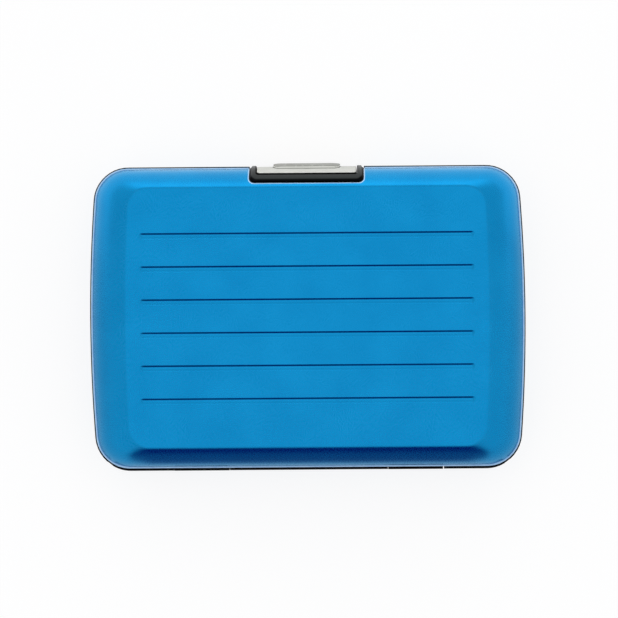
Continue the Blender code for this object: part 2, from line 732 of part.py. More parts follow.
def spring_path():
    """Centre line of the torsion spring: a leg on the window's floor, a helix, and a leg on the plate."""
    radius = CLASP_PIN_RADIUS + FIT + SPRING_WIRE_RADIUS
    start = math.radians(SPRING_ENTRY_DEG)
    end = math.radians(SPRING_EXIT_DEG) + 2 * math.pi * SPRING_TURNS
    steps = COIL_STEPS * SPRING_TURNS
    angles = np.linspace(start, end, steps + 1)
    x = np.linspace(-SPRING_PITCH, SPRING_PITCH, steps + 1) * SPRING_TURNS / 2
    coil = np.column_stack([x, PIVOT_Y + radius * np.cos(angles), radius * np.sin(angles) - PIVOT_DROP])
    seat = FIT + SPRING_WIRE_RADIUS
    plate_z = -PIVOT_DROP - SPRING_PLATE_LEG
    first = (x[0], WINDOW_FLOOR_Y + seat, SPRING_WALL_LEG - PIVOT_DROP)
    last = (x[-1], wall_y(plate_z, PLATE_THICKNESS) - seat, plate_z)
    return np.vstack([first, coil, last])


def make_spring(parts):
    """The torsion spring that holds the hook in, one unbroken wire."""
    node = "clasp_spring"
    points = spring_path()
    curve = bpy.data.curves.new(node, "CURVE")
    curve.dimensions = "3D"
    curve.bevel_depth = SPRING_WIRE_RADIUS
    curve.bevel_resolution = 1
    curve.use_fill_caps = True
    spline = curve.splines.new("POLY")
    spline.points.add(len(points) - 1)
    for place_on_wire, point in zip(spline.points, points):
        place_on_wire.co = (*point, 1)
    wire = baked(new_object(node, curve, parts), node, Matrix.Identity(4), parts)
    gap = SPRING_PITCH - 2 * SPRING_WIRE_RADIUS
    print("least gap between the spring's turns:", round(gap, 6))
    return finish(wire, steel_material(node))


def make_hinge_pin(node, side, parts):
    """One steel hinge pin, from inside the centre knuckle to the end of the last one."""
    low, high = sorted((side * (MIDDLE_EDGE - HINGE_PIN_HOLD), side * (HINGE_EDGE - FIT)))
    pin = rod(node, HINGE_PIN_RADIUS, low, high, HINGE_Y, 0, PIN_SIDES, parts)
    return finish(pin, steel_material(node))


def film_sheet(node, width, foot_y, corner, z, parts):
    """One flat sheet of the accordion, centred on a height over the seam plane."""
    outline = round_outline(-width / 2, width / 2, foot_y, DIVIDER_TOP_Y, corner)
    sheet = slab(node, outline, z - FILM / 2, z + FILM / 2, Matrix.Identity(4), parts)
    return finish(sheet, film_material(node))


def divider_heights():
    """Heights of the pocket dividers over the seam plane."""
    return np.linspace(-WALL_STACK, WALL_STACK, POCKETS + 1)[1:-1]


def pleat_path(edge, fold, wall_edge):
    """(outward, z) points of the folded film: flat at each divider, folded between, tabs on the end walls."""
    heights = divider_heights()
    tab_z = WALL_STACK - FILM / 2 - FIT - GUSSET_FILM / 2
    points = [(wall_edge - TAB_LENGTH, -tab_z), (wall_edge, -tab_z)]
    for index, z in enumerate(heights):
        if index:
            points.append((edge + fold, (z + heights[index - 1]) / 2))
        points += [(edge, z - FOLD_FLAT / 2), (edge, z + FOLD_FLAT / 2)]
    return points + [(wall_edge, tab_z), (wall_edge - TAB_LENGTH, tab_z)]


def pleated(node, path, low, high, matrix, parts):
    """A folded strip of film: an open pleated sheet given its thickness."""
    points = [(out, z, end) for end in (low, high) for out, z in path]
    count = len(path)
    faces = [(i, i + 1, count + i + 1, count + i) for i in range(count - 1)]
    mesh = bpy.data.meshes.new(node)
    mesh.from_pydata(points, [], faces)
    mesh.transform(matrix)
    strip = new_object(node, mesh, parts)
    solid = strip.modifiers.new("film", "SOLIDIFY")
    solid.thickness = GUSSET_FILM
    solid.offset = 0
    solid.use_even_offset = True
    return finish(strip, film_material(node))


def make_accordion_folds(parts):
    """The side gussets and the pleated base of the pockets."""
    clear = FIT + GUSSET_FILM / 2
    side_path = pleat_path(DIVIDER_WIDTH / 2 + clear, -GUSSET_FOLD, END_WALL_WIDTH / 2)
    upright = Matrix(((1, 0, 0, 0), (0, 0, 1, 0), (0, 1, 0, 0), (0, 0, 0, 1)))
    mirrored = Matrix(((-1, 0, 0, 0), (0, 0, 1, 0), (0, 1, 0, 0), (0, 0, 0, 1)))
    top_y = DIVIDER_TOP_Y - GUSSET_DROP
    right = pleated("gusset_right", side_path, END_WALL_FOOT_Y, top_y, upright, parts)
    left = pleated("gusset_left", side_path, END_WALL_FOOT_Y, top_y, mirrored, parts)
    base_path = pleat_path(clear - DIVIDER_FOOT_Y, BASE_FOLD, -END_WALL_FOOT_Y)
    downward = Matrix(((0, 0, 1, 0), (-1, 0, 0, 0), (0, 1, 0, 0), (0, 0, 0, 1)))
    base = pleated("pocket_base", base_path, -BASE_WIDTH / 2, BASE_WIDTH / 2, downward, parts)
    return [left, right, base]


def make_accordion(parts, axes):
    """The card pockets: end walls on the liners, dividers on the hinge axis, and the folded film."""
    sizes = (END_WALL_WIDTH, END_WALL_FOOT_Y, END_WALL_CORNER)
    place_upright([film_sheet("pocket_wall_rear", *sizes, -WALL_STACK, parts)])
    place([film_sheet("pocket_wall_front", *sizes, WALL_STACK, parts)], axes["lid"])
    for index, z in enumerate(divider_heights(), start=1):
        node = f"divider_{index}"
        divider = film_sheet(node, DIVIDER_WIDTH, DIVIDER_FOOT_Y, DIVIDER_CORNER, z, parts)
        place([divider], axes[node])
    place_upright(make_accordion_folds(parts))


def make_axes(parts):
    """Empties on the joint axes: the hinge for the lid and the dividers, the pin for the clasp."""
    axes = {"lid": axis_empty("lid_axis", HINGE_Y, 0, parts)}
    axes["clasp"] = axis_empty("clasp_axis", PIVOT_Y, -PIVOT_DROP, parts)
    for index in range(1, POCKETS):
        axes[f"divider_{index}"] = axis_empty(f"divider_axis_{index}", HINGE_Y, 0, parts)
    return axes


def main():
    """Builds the whole case."""
    for old in list(bpy.data.objects):
        bpy.data.objects.remove(old, do_unlink=True)
    parts = make_collection("card_holder")
    cutters = make_collection("cutters")
    axes = make_axes(parts)
    place_turned(make_shell("rear_shell", parts, cutters))
    place_turned(make_frame("rear_frame", True, parts, cutters))
    place_turned(make_liner("rear_liner", parts, cutters))
    place_turned(make_housing("rear_clasp_housing", False, parts, cutters))
    place(make_shell("front_shell", parts, cutters), axes["lid"])
    place(make_frame("front_frame", False, parts, cutters), axes["lid"])
    place(make_liner("front_liner", parts, cutters), axes["lid"])
    place(make_housing("front_clasp_housing", True, parts, cutters), axes["lid"])
    place(make_lever(parts, cutters), axes["clasp"])
    place_upright([make_clasp_pin(parts), make_spring(parts)])
    place_upright([make_hinge_pin("hinge_pin_left", -1, parts)])
    place_upright([make_hinge_pin("hinge_pin_right", 1, parts)])
    make_accordion(parts, axes)


main()
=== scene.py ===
"""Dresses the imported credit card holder: two pressed and anodised aluminium shells on black moulded frames,
a hinge along one long side, a sprung clasp on the other, and a card accordion inside.

Lengths are metres. Each half is worked out over the seam plane, with the case's middle as origin, and the
rear half is then turned over about the Y axis. Every surface is a grid of two parameters, held as whole
numpy arrays, and each method's docstring gives its formula in words."""

import json
import logging
import math
from dataclasses import dataclass, field
from enum import Enum

import bmesh
import bpy
import numpy as np
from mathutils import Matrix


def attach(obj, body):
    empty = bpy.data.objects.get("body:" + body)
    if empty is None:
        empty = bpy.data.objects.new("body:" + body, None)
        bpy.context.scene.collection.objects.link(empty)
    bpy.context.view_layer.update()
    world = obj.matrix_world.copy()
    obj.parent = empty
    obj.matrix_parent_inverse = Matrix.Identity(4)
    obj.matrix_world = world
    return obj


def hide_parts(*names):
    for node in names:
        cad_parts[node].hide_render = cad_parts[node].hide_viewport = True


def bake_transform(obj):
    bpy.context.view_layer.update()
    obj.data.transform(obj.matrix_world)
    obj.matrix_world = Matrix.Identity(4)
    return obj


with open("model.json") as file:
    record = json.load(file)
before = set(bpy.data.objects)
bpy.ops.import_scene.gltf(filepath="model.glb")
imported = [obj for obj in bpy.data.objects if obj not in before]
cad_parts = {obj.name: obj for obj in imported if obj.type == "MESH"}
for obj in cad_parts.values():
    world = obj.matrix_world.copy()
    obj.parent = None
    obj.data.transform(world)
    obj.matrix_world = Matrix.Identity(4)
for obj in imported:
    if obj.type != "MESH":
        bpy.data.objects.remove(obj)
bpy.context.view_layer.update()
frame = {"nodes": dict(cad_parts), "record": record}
SEAM = 0.0105
WELD = 0.000002
SHARP = math.radians(38.0)
LOG = logging.getLogger("card_holder")

Span = tuple[float, float]
Point = tuple[float, float, float]
Colour = tuple[float, float, float]
Numbers = tuple[float, ...]
Feed = bpy.types.NodeSocket | float | Numbers
WHITE: Colour = (1.0, 1.0, 1.0)


class Half(Enum):
    """Which half of the case a piece belongs to, with the signs that turn its points over the seam."""

    FRONT = (1.0, 1.0)
    REAR = (-1.0, -1.0)

    def placed(self, points: np.ndarray) -> np.ndarray:
        """Points of a half in the closed case: x and height times the half's signs, lifted to the seam.

        Args:
            points: Points over the seam plane, the last axis x, y and height.

        Returns:
            The same points in the case's own place."""
        side, rise = self.value
        return points * np.array([side, 1.0, rise]) + np.array([0.0, 0.0, SEAM])


def linked(name: str, data: bpy.types.ID) -> bpy.types.Object:
    """A new object in the scene, made of its data."""
    made = bpy.data.objects.new(name, data)
    bpy.context.scene.collection.objects.link(made)
    return made


class Surface:
    """The grids of one piece, gathered until they are welded into one mesh."""

    def __init__(self) -> None:
        """Starts with no grids."""
        self.points: list[np.ndarray] = []
        self.faces: list[np.ndarray] = []
        self.kinds: list[np.ndarray] = []
        self.rubbed: list[np.ndarray] = []
        self.soiled: list[np.ndarray] = []
        self.count = 0

    def add(
        self,
        grid: np.ndarray,
        round_rows: bool = False,
        round_columns: bool = False,
        keep: np.ndarray | None = None,
        kind: int = 0,
        rubbed: float | np.ndarray = 0.0,
        soiled: float | np.ndarray = 0.0,
    ) -> "Surface":
        """Adds a grid of points with a quad between each four neighbours.

        Args:
            grid: Points, shaped rows, columns, 3.
            round_rows: Whether the last row joins the first.
            round_columns: Whether the last column joins the first.
            keep: Which quads to keep, shaped as the quads are.
            kind: Number of the material slot.
            rubbed: How much each point is rubbed in use, from 0 to 1; on the lever's rounded edge this also
                paints a highlight.
            soiled: How far each point is darkened as painted shade, from 0 to 1.

        Returns:
            The surface itself."""
        rows, columns = grid.shape[:2]
        index = np.arange(rows * columns).reshape(rows, columns) + self.count
        if round_rows:
            index = np.vstack([index, index[:1]])
        if round_columns:
            index = np.hstack([index, index[:, :1]])
        quads = np.stack([index[:-1, :-1], index[:-1, 1:], index[1:, 1:], index[1:, :-1]], axis=-1)
        if keep is not None:
            quads = quads[keep]
        self.points.append(grid.reshape(-1, 3))
        self.faces.append(quads.reshape(-1, 4))
        self.kinds.append(np.full(self.faces[-1].shape[0], kind))
        self.rubbed.append(np.broadcast_to(rubbed, (rows, columns)).ravel())
        self.soiled.append(np.broadcast_to(soiled, (rows, columns)).ravel())
        self.count += rows * columns
        return self

    def cap(self, ring: np.ndarray) -> "Surface":
        """Closes a ring of points with quads that meet in its middle."""
        middle = np.broadcast_to(ring.mean(axis=0), ring.shape)
        return self.add(np.stack([ring, middle]), round_columns=True)

    def tube(self, grid: np.ndarray, rubbed: float = 0.0) -> "Surface":
        """Adds a grid whose columns go round, and closes its first and its last row."""
        self.add(grid, round_columns=True, rubbed=rubbed)
        return self.cap(grid[0]).cap(grid[-1])

    def piece(
        self, name: str, materials: list[bpy.types.Material], half: Half | None = None
    ) -> bpy.types.Object:
        """Welds the grids into one smooth mesh whose faces point outwards.

        Args:
            name: Name of the new object.
            materials: One material for each slot.
            half: The half that the points are drawn in, or none where they are in place already.

        Returns:
            The new object."""
        points = np.concatenate(self.points)
        points = points + np.array([0.0, 0.0, SEAM]) if half is None else half.placed(points)
        faces = np.concatenate(self.faces)
        mesh = bpy.data.meshes.new(name)
        mesh.from_pydata(points.tolist(), [], faces.tolist())
        mesh.polygons.foreach_set("material_index", np.concatenate(self.kinds).astype(np.int32))
        # The second attribute marks painted shade, where a dark colour stands in for shadow.
        for title, marks in (("rubbed", self.rubbed), ("soiled", self.soiled)):
            attribute = mesh.attributes.new(title, "FLOAT", "POINT")
            attribute.data.foreach_set("value", np.concatenate(marks).astype(np.float32))
        work = bmesh.new()
        work.from_mesh(mesh)
        bmesh.ops.remove_doubles(work, verts=work.verts, dist=WELD)
        bmesh.ops.dissolve_degenerate(work, dist=WELD / 2, edges=work.edges)
        bmesh.ops.recalc_face_normals(work, faces=work.faces)
        open_edges = sum(not edge.is_manifold for edge in work.edges)
        work.to_mesh(mesh)
        work.free()
        for material in materials:
            mesh.materials.append(material)
        mesh.shade_smooth()
        mesh.set_sharp_from_angle(angle=SHARP)
        made = linked(name, mesh)
        LOG.info("%s: %d faces, %d open edges", name, len(mesh.polygons), open_edges)
        return made


@dataclass(frozen=True)
class CaseForm:
    """Sizes of the case's outside, shared by every piece that follows it."""

    half_depth: float = 0.0105
    width: float = 0.1095
    height: float = 0.07575
    corner: float = 0.0077
    bulge: float = 0.0018
    side_run: float = 0.009125
    long_run: float = 0.005235
    face_corner: float = 0.005
    face_bulge: float = 0.001
    turn: float = math.radians(52.0)
    rim_rise: float = 0.00095
    hinge_inset: float = 0.00052
    barrel_radius: float = 0.0012
    lip: float = 0.00025

    @property
    def centre(self) -> np.ndarray:
        """Middle of the crease's corner in the first quarter."""
        return np.array(
            [
                self.width / 2 - self.side_run - self.face_bulge - self.face_corner,
                self.height / 2 - self.long_run - self.face_corner,
            ]
        )

    @property
    def hinge_y(self) -> float:
        """Y of the hinge's axis."""
        return self.hinge_inset - self.height / 2

    def outline(
        self, seeds: np.ndarray, half_width: float, half_height: float, corner: float, bulge: float
    ) -> np.ndarray:
        """Points of a round-cornered, bow-sided outline, matched to seeds on the crease.

        On the sides a seed keeps its x or y. In a corner, the seed's share of the crease's quarter turn is
        the point's share of the way from the long side, round the corner, to the short side. Then x is
        multiplied by 1 plus the bow, which falls off with the square of y.

        Args:
            seeds: Points of the crease before its bow, shaped n, 2.
            half_width: Half of the outline's width, bow included.
            half_height: Half of its height.
            corner: Radius of its corners.
            bulge: Height of the bow of its short sides.

        Returns:
            The outline's points, shaped n, 2."""
        size = np.abs(seeds)
        beyond = np.maximum(size - self.centre, 0)
        share = 1 - np.arctan2(beyond[:, 1], beyond[:, 0]) / (math.pi / 2)
        flat_half = half_width - bulge
        first = flat_half - corner - self.centre[0]
        arc = corner * math.pi / 2
        last = half_height - corner - self.centre[1]
        run = share * (first + arc + last)
        turned = np.clip((run - first) / corner, 0, math.pi / 2)
        x = self.centre[0] + np.clip(run, 0, first) + corner * np.sin(turned)
        y = half_height - corner + corner * np.cos(turned) - np.clip(run - first - arc, 0, last)
        x = np.where(size[:, 0] <= self.centre[0], size[:, 0], x)
        y = np.where(size[:, 1] <= self.centre[1], size[:, 1], y)
        bow = 1 + bulge / flat_half * (1 - (y / half_height) ** 2)
        return np.column_stack([x * bow, y]) * np.where(seeds < 0, -1, 1)

    def rim(self, seeds: np.ndarray, step: float = 0.0) -> np.ndarray:
        """The shell's outline at its rim, or an outline an even step outside it."""
        return self.outline(
            seeds, self.width / 2 + step, self.height / 2 + step, self.corner + step, self.bulge
        )

    def crease(self, seeds: np.ndarray) -> np.ndarray:
        """The outline of the shell's flat face."""
        half_width = self.width / 2 - self.side_run
        return self.outline(
            seeds, half_width, self.height / 2 - self.long_run, self.face_corner, self.face_bulge
        )

    def lip_line(self, seeds: np.ndarray, step: float = 0.0) -> np.ndarray:
        """The frame lip's outline: an even step beyond the rim, and out to the barrels at the hinge side.

        Args:
            seeds: Points of the crease before its bow, shaped n, 2.
            step: How far outside the lip the outline runs.

        Returns:
            The outline's points, shaped n, 2."""
        hinge_lip = self.barrel_radius - self.hinge_inset + step
        upper = self.rim(seeds, self.lip + step)
        half_width, half_height = self.width / 2 + self.lip + step, self.height / 2 + hinge_lip
        lower = self.outline(seeds, half_width, half_height, self.corner + hinge_lip, self.bulge)
        return np.where(seeds[:, 1:] < 0, lower, upper)


class Wall:
    """The shell's side wall: at each seed, an arc from the rim up to the crease."""

    def __init__(self, form: CaseForm, seeds: np.ndarray, step: float = 0.0) -> None:
        """Works out the arcs.

        At a seed the wall climbs from the rim's point to the crease's, turning evenly by the form's turn
        angle. Its middle lies that far in and up which makes the arc pass through both.

        Args:
            form: The case's sizes.
            seeds: Points of the crease before its bow, shaped n, 2.
            step: How far outside the rim the wall starts."""
        self.form = form
        self.rim = form.rim(seeds, step)
        across = form.crease(seeds) - self.rim
        run = np.linalg.norm(across, axis=1)
        self.inward = across / run[:, None]
        rise = form.half_depth - form.rim_rise
        climb = np.arctan2(rise, run)
        spread = form.turn / 2
        self.radius = np.hypot(rise, run) / (2 * math.sin(spread))
        self.centre_in = self.radius * np.sin(climb + spread)
        self.centre_up = form.rim_rise - self.radius * np.cos(climb + spread)
        self.low = math.pi / 2 - climb - spread
        self.high = self.low + form.turn

    def at(self, angle: np.ndarray, inset: float) -> np.ndarray:
        """Points of a surface parallel to the wall.

        Setback is the middle's, less the reduced radius times the angle's cosine. Height is the middle's,
        plus the reduced radius times its sine.

        Args:
            angle: Angles about the arcs' middles, the last axis over the seeds.
            inset: Depth below the wall's skin.

        Returns:
            Points, shaped as the angles with an axis of 3 added."""
        reach = self.radius - inset
        setback = self.centre_in - reach * np.cos(angle)
        flat = self.rim + self.inward * setback[..., None]
        return np.concatenate([flat, (self.centre_up + reach * np.sin(angle))[..., None]], axis=-1)

    def angle_at_height(self, height: float | np.ndarray, inset: float) -> np.ndarray:
        """The angles at which a parallel surface has a height over the seam."""
        return np.arcsin((height - self.centre_up) / (self.radius - inset))

    def angle_at_setback(self, setback: float | np.ndarray, inset: float) -> np.ndarray:
        """The angles at which a parallel surface lies a distance inside the rim, seen from the front."""
        return np.arccos(np.clip((self.centre_in - setback) / (self.radius - inset), -1, 1))

    def row(self, height: float, inset: float) -> np.ndarray:
        """Points round the case on a parallel surface at one height, and straight down below the rim."""
        angle = self.angle_at_height(max(height, self.form.rim_rise), inset)
        points = self.at(angle, inset)
        points[:, 2] = height
        return points


class ClaspSide:
    """The straight wall at the clasp, as a curve of y over height."""

    def __init__(self, form: CaseForm) -> None:
        """Takes the wall's arc at the middle of the clasp side."""
        self.wall = Wall(form, np.array([[0.0, form.height / 2 - form.long_run]]))

    def y(self, height: np.ndarray, inset: float | np.ndarray) -> np.ndarray:
        """Y of the surface an inset below the skin, at heights over or under the seam.

        Args:
            height: Heights, of any shape.
            inset: Depth below the skin, one or as many.

        Returns:
            The y of each height."""
        rise = np.maximum(np.abs(height), self.wall.form.rim_rise) - self.wall.centre_up[0]
        reach = self.wall.radius[0] - inset
        return self.wall.rim[0, 1] - self.wall.centre_in[0] + np.sqrt(reach**2 - rise**2)

    def lifted(self, line: np.ndarray, rise: float) -> np.ndarray:
        """Points of a line on the skin, lifted along the skin's normal.

        The height gives the angle about the arc's middle; below the rim the normal is level.

        Args:
            line: X and height of the points.
            rise: How far above the skin they are lifted, or below it where negative.

        Returns:
            The points, shaped n, 3."""
        low = self.wall.form.rim_rise
        height = np.maximum(line[:, 1], low)
        angle = np.arcsin((height - self.wall.centre_up[0]) / self.wall.radius[0])
        reach = self.wall.radius[0] + rise
        y = self.wall.rim[0, 1] - self.wall.centre_in[0] + reach * np.cos(angle)
        z = self.wall.centre_up[0] + reach * np.sin(angle) + np.minimum(line[:, 1] - low, 0)
        return np.column_stack([line[:, 0], y, z])

    def height(self, y: np.ndarray, inset: float | np.ndarray) -> np.ndarray:
        """Height at which the surface an inset below the skin reaches a y."""
        across = self.wall.centre_in[0] - (self.wall.rim[0, 1] - y)
        return self.wall.centre_up[0] + np.sqrt((self.wall.radius[0] - inset) ** 2 - across**2)


def blended(low: np.ndarray, high: np.ndarray, steps: int) -> np.ndarray:
    """Rows evenly spaced from one row of values to another, both included."""
    share = np.linspace(0, 1, steps + 1).reshape(-1, *([1] * np.ndim(low)))
    return low * (1 - share) + high * share


def quarter(steps: int) -> np.ndarray:
    """Angles of a quarter turn in even steps, both ends included."""
    return np.linspace(0, math.pi / 2, steps + 1)


def ramp(value: np.ndarray, none: float, full: float) -> np.ndarray:
    """0 up to one value, 1 from another one on and even between them, whichever is the greater."""
    return np.clip((value - none) / (full - none), 0, 1)


def level(points: np.ndarray, value: float) -> np.ndarray:
    """Points with one more coordinate, which is the same for all."""
    return np.column_stack([points, np.full(len(points), value)])


def mirrored(right: np.ndarray) -> np.ndarray:
    """A line from the right to the middle, and on to the left as its own mirror image."""
    return np.concatenate([right, right[-2::-1] * (-1, 1)])


def round_edge(grid: np.ndarray) -> np.ndarray:
    """The points round a grid's edge, counterclockwise from the lower right corner."""
    return np.concatenate([grid[:, -1], grid[-1, -2::-1], grid[-2::-1, 0], grid[0, 1:-1]])


def circles(x: np.ndarray, radius: np.ndarray, y: float, height: float, sides: int) -> np.ndarray:
    """Circles about an axis along X: y and height are the axis's plus the radius times cosine and sine.

    Args:
        x: X of each circle.
        radius: Radius of each circle.
        y: Y of the axis.
        height: Height of the axis over the seam.
        sides: Points on a circle.

    Returns:
        The grid, shaped circles, sides, 3."""
    turn = np.linspace(0, 2 * math.pi, sides, endpoint=False)
    across = y + radius[:, None] * np.cos(turn)
    up = height + radius[:, None] * np.sin(turn)
    return np.stack([np.broadcast_to(x[:, None], across.shape), across, up], axis=-1)


class Wiring:
    """Short calls that add nodes to one node tree and feed their inputs."""

    def __init__(self, tree: bpy.types.NodeTree) -> None:
        """Takes the tree."""
        self.tree = tree

    def feed(self, node: bpy.types.Node, inputs: dict[str | int, Feed]) -> None:
        """Links sockets to a node's inputs, or lets the inputs hold values.

        Args:
            node: The node.
            inputs: The socket or the value for each input, by the input's name or number."""
        for place, given in inputs.items():
            if isinstance(given, bpy.types.NodeSocket):
                self.tree.links.new(given, node.inputs[place])
            else:
                node.inputs[place].default_value = given

    def node(self, kind: str, inputs: dict[str | int, Feed] | None = None) -> bpy.types.Node:
        """Adds a node of a kind and feeds its inputs."""
        made = self.tree.nodes.new(kind)
        self.feed(made, inputs or {})
        return made

    def reckoned(self, operation: str, *given: Feed) -> bpy.types.NodeSocket:
        """The result of an operation on numbers."""
        made = self.node("ShaderNodeMath")
        made.operation = operation
        self.feed(made, dict(enumerate(given)))
        return made.outputs["Value"]

    def vector(self, operation: str, *given: Feed) -> bpy.types.Node:
        """A node for an operation on vectors."""
        made = self.node("ShaderNodeVectorMath")
        made.operation = operation
        self.feed(made, dict(enumerate(given)))
        return made

    def spread(
        self, value: Feed, bounds: Span = (0.0, 1.0), values: Span = (0.0, 1.0), eased: bool = False
    ) -> bpy.types.NodeSocket:
        """Maps a value from between two bounds to between two others.

        Args:
            value: The value's socket.
            bounds: Where the result starts to change and where it stops.
            values: The result at the two bounds.
            eased: Whether the change starts and ends softly.

        Returns:
            The result's socket."""
        made = self.node("ShaderNodeMapRange")
        made.interpolation_type = "SMOOTHSTEP" if eased else "LINEAR"
        ends = {"From Min": bounds[0], "From Max": bounds[1], "To Min": values[0], "To Max": values[1]}
        self.feed(made, {"Value": value, **ends})
        return made.outputs["Result"]

    def mixed(self, share: Feed, first: Feed, second: Feed) -> bpy.types.NodeSocket:
        """A mix of two colours, each a colour or the socket of one, by the second one's share.

        Args:
            share: The second colour's share.
            first: The first colour, in input 6 of the mix node.
            second: The second colour, in input 7.

        Returns:
            The mixed colour's socket."""
        made = self.node("ShaderNodeMix")
        made.data_type = "RGBA"
        first, second = ((*given, 1.0) if isinstance(given, tuple) else given for given in (first, second))
        self.feed(made, {0: share, 6: first, 7: second})
        return made.outputs[2]

    def group(self, tree: bpy.types.NodeTree, inputs: dict[str | int, Feed]) -> bpy.types.NodeSocket:
        """Places a shared group, feeds it and gives its result."""
        made = self.node("ShaderNodeGroup")
        made.node_tree = tree
        self.feed(made, inputs)
        return made.outputs[0]


@dataclass
class Palette:
    """Shared shader node groups, each built once."""

    noise_bounds: Span = (0.3, 0.7)
    mask_scale: float = 900.0
    mask_detail: float = 5.0

    def __post_init__(self) -> None:
        """Builds the groups."""
        self.grain = self._noise("fine_grain", detail=2.0, roughness=0.6)
        self.tone = self._noise("broad_tone", detail=4.0, roughness=0.5)
        self.wear = self._mask("edge_wear", "rubbed", bounds=(0.42, 0.62))
        # A mask of painted shade, broken up by noise, from each point's shade attribute.
        self.soil = self._mask("seam_soil", "soiled", bounds=(0.15, 0.40))

    @staticmethod
    def _opened(name: str, amount: str, result: str) -> tuple[Wiring, bpy.types.Node, bpy.types.Node]:
        """Starts a group that takes a vector and a number and gives a number.

        Args:
            name: Name of the group.
            amount: Name of the number that it takes.
            result: Name of the number that it gives.

        Returns:
            The group's wiring, its input node and its output node."""
        tree = bpy.data.node_groups.new(name, "ShaderNodeTree")
        tree.interface.new_socket("Vector", in_out="INPUT", socket_type="NodeSocketVector")
        tree.interface.new_socket(amount, in_out="INPUT", socket_type="NodeSocketFloat")
        tree.interface.new_socket(result, in_out="OUTPUT", socket_type="NodeSocketFloat")
        wiring = Wiring(tree)
        return wiring, wiring.node("NodeGroupInput"), wiring.node("NodeGroupOutput")

    def _noise(self, name: str, detail: float, roughness: float) -> bpy.types.NodeTree:
        """A group that gives a noise value from a vector and a scale.

        Args:
            name: Name of the group.
            detail: Octaves of the noise.
            roughness: Weight of its higher octaves.

        Returns:
            The node group."""
        wiring, entry, leave = self._opened(name, "Scale", "Value")
        look = {"Detail": detail, "Roughness": roughness}
        place = {key: entry.outputs[key] for key in ("Vector", "Scale")}
        noise = wiring.node("ShaderNodeTexNoise", {**place, **look})
        wiring.feed(leave, {"Value": wiring.spread(noise.outputs["Fac"], self.noise_bounds)})
        return wiring.tree

    def _mask(self, name: str, marks: str, bounds: Span) -> bpy.types.NodeTree:
        """A group that breaks up an attribute of the surface with noise into a mask.

        Args:
            name: Name of the group.
            marks: Name of the attribute.
            bounds: Noise values at which the mask starts and is full.

        Returns:
            The node group."""
        wiring, entry, leave = self._opened(name, "Amount", "Mask")
        marked = wiring.node("ShaderNodeAttribute")
        marked.attribute_name = marks
        look = {"Scale": self.mask_scale, "Detail": self.mask_detail}
        noise = wiring.node("ShaderNodeTexNoise", {"Vector": entry.outputs["Vector"], **look})
        broken = wiring.spread(noise.outputs["Fac"], bounds)
        joined = wiring.reckoned("MULTIPLY", broken, marked.outputs["Fac"])
        wiring.feed(leave, {"Mask": wiring.reckoned("MULTIPLY", joined, entry.outputs["Amount"])})
        return wiring.tree


@dataclass(frozen=True)
class Finish:
    """One surface finish, from which a procedural material is made."""

    name: str
    dark: Colour
    light: Colour
    # On the clasp the worn colour also paints a highlight.
    worn_and_highlight: Colour
    metallic: float
    rough: Span
    grain_scale: float
    grain_depth: float
    tone_scale: float
    wear: float = 0.0
    wear_rough: float = 0.3
    stretch: Point = (1.0, 1.0, 1.0)
    coat: float = 0.0
    coat_rough: float = 0.2
    specular: float = 0.5
    edge_tint: Colour = WHITE
    # Colour of painted shade, where a finish has one.
    soil: Colour | None = None

    def material(self, palette: Palette) -> bpy.types.Material:
        """Builds the material: two tones mixed by broad noise, roughness and bump by fine grain, wear that on
        the clasp also paints a highlight, and painted shade where the finish has a shade colour.

        Args:
            palette: The shared node groups.

        Returns:
            The new material."""
        made = bpy.data.materials.new(self.name)
        made.use_nodes = True
        wiring = Wiring(made.node_tree)
        place = wiring.node("ShaderNodeTexCoord")
        scaled = wiring.node("ShaderNodeMapping", {"Vector": place.outputs["Object"], "Scale": self.stretch})
        vector = {"Vector": scaled.outputs["Vector"]}
        grain = wiring.group(palette.grain, {**vector, "Scale": self.grain_scale})
        tone = wiring.group(palette.tone, {**vector, "Scale": self.tone_scale})
        # Wear lightens rubbed points; on the clasp's rounded edges it also paints a highlight.
        wear = wiring.group(palette.wear, {**vector, "Amount": self.wear})
        colour = wiring.mixed(wear, wiring.mixed(tone, self.dark, self.light), self.worn_and_highlight)
        # Painted shade: a dark colour mixed in by the shade mask in place of shadow.
        if self.soil is not None:
            soil = wiring.group(palette.soil, {**vector, "Amount": 1.0})
            colour = wiring.mixed(soil, colour, self.soil)
        rough = wiring.spread(grain, values=self.rough)
        # A mix of numbers has its share in input 0 and the numbers in 2 and 3.
        smoothed = wiring.node("ShaderNodeMix", {0: wear, 2: rough, 3: self.wear_rough})
        bump = wiring.node("ShaderNodeBump", {"Height": grain, "Distance": self.grain_depth, "Strength": 1.0})
        shader = {
            "Base Color": colour,
            "Roughness": smoothed.outputs[0],
            "Normal": bump.outputs["Normal"],
            "Metallic": self.metallic,
            "Specular IOR Level": self.specular,
            "Specular Tint": (*self.edge_tint, 1.0),
            "Coat Weight": self.coat,
            "Coat Roughness": self.coat_rough,
        }
        wiring.feed(made.node_tree.nodes["Principled BSDF"], shader)
        return made


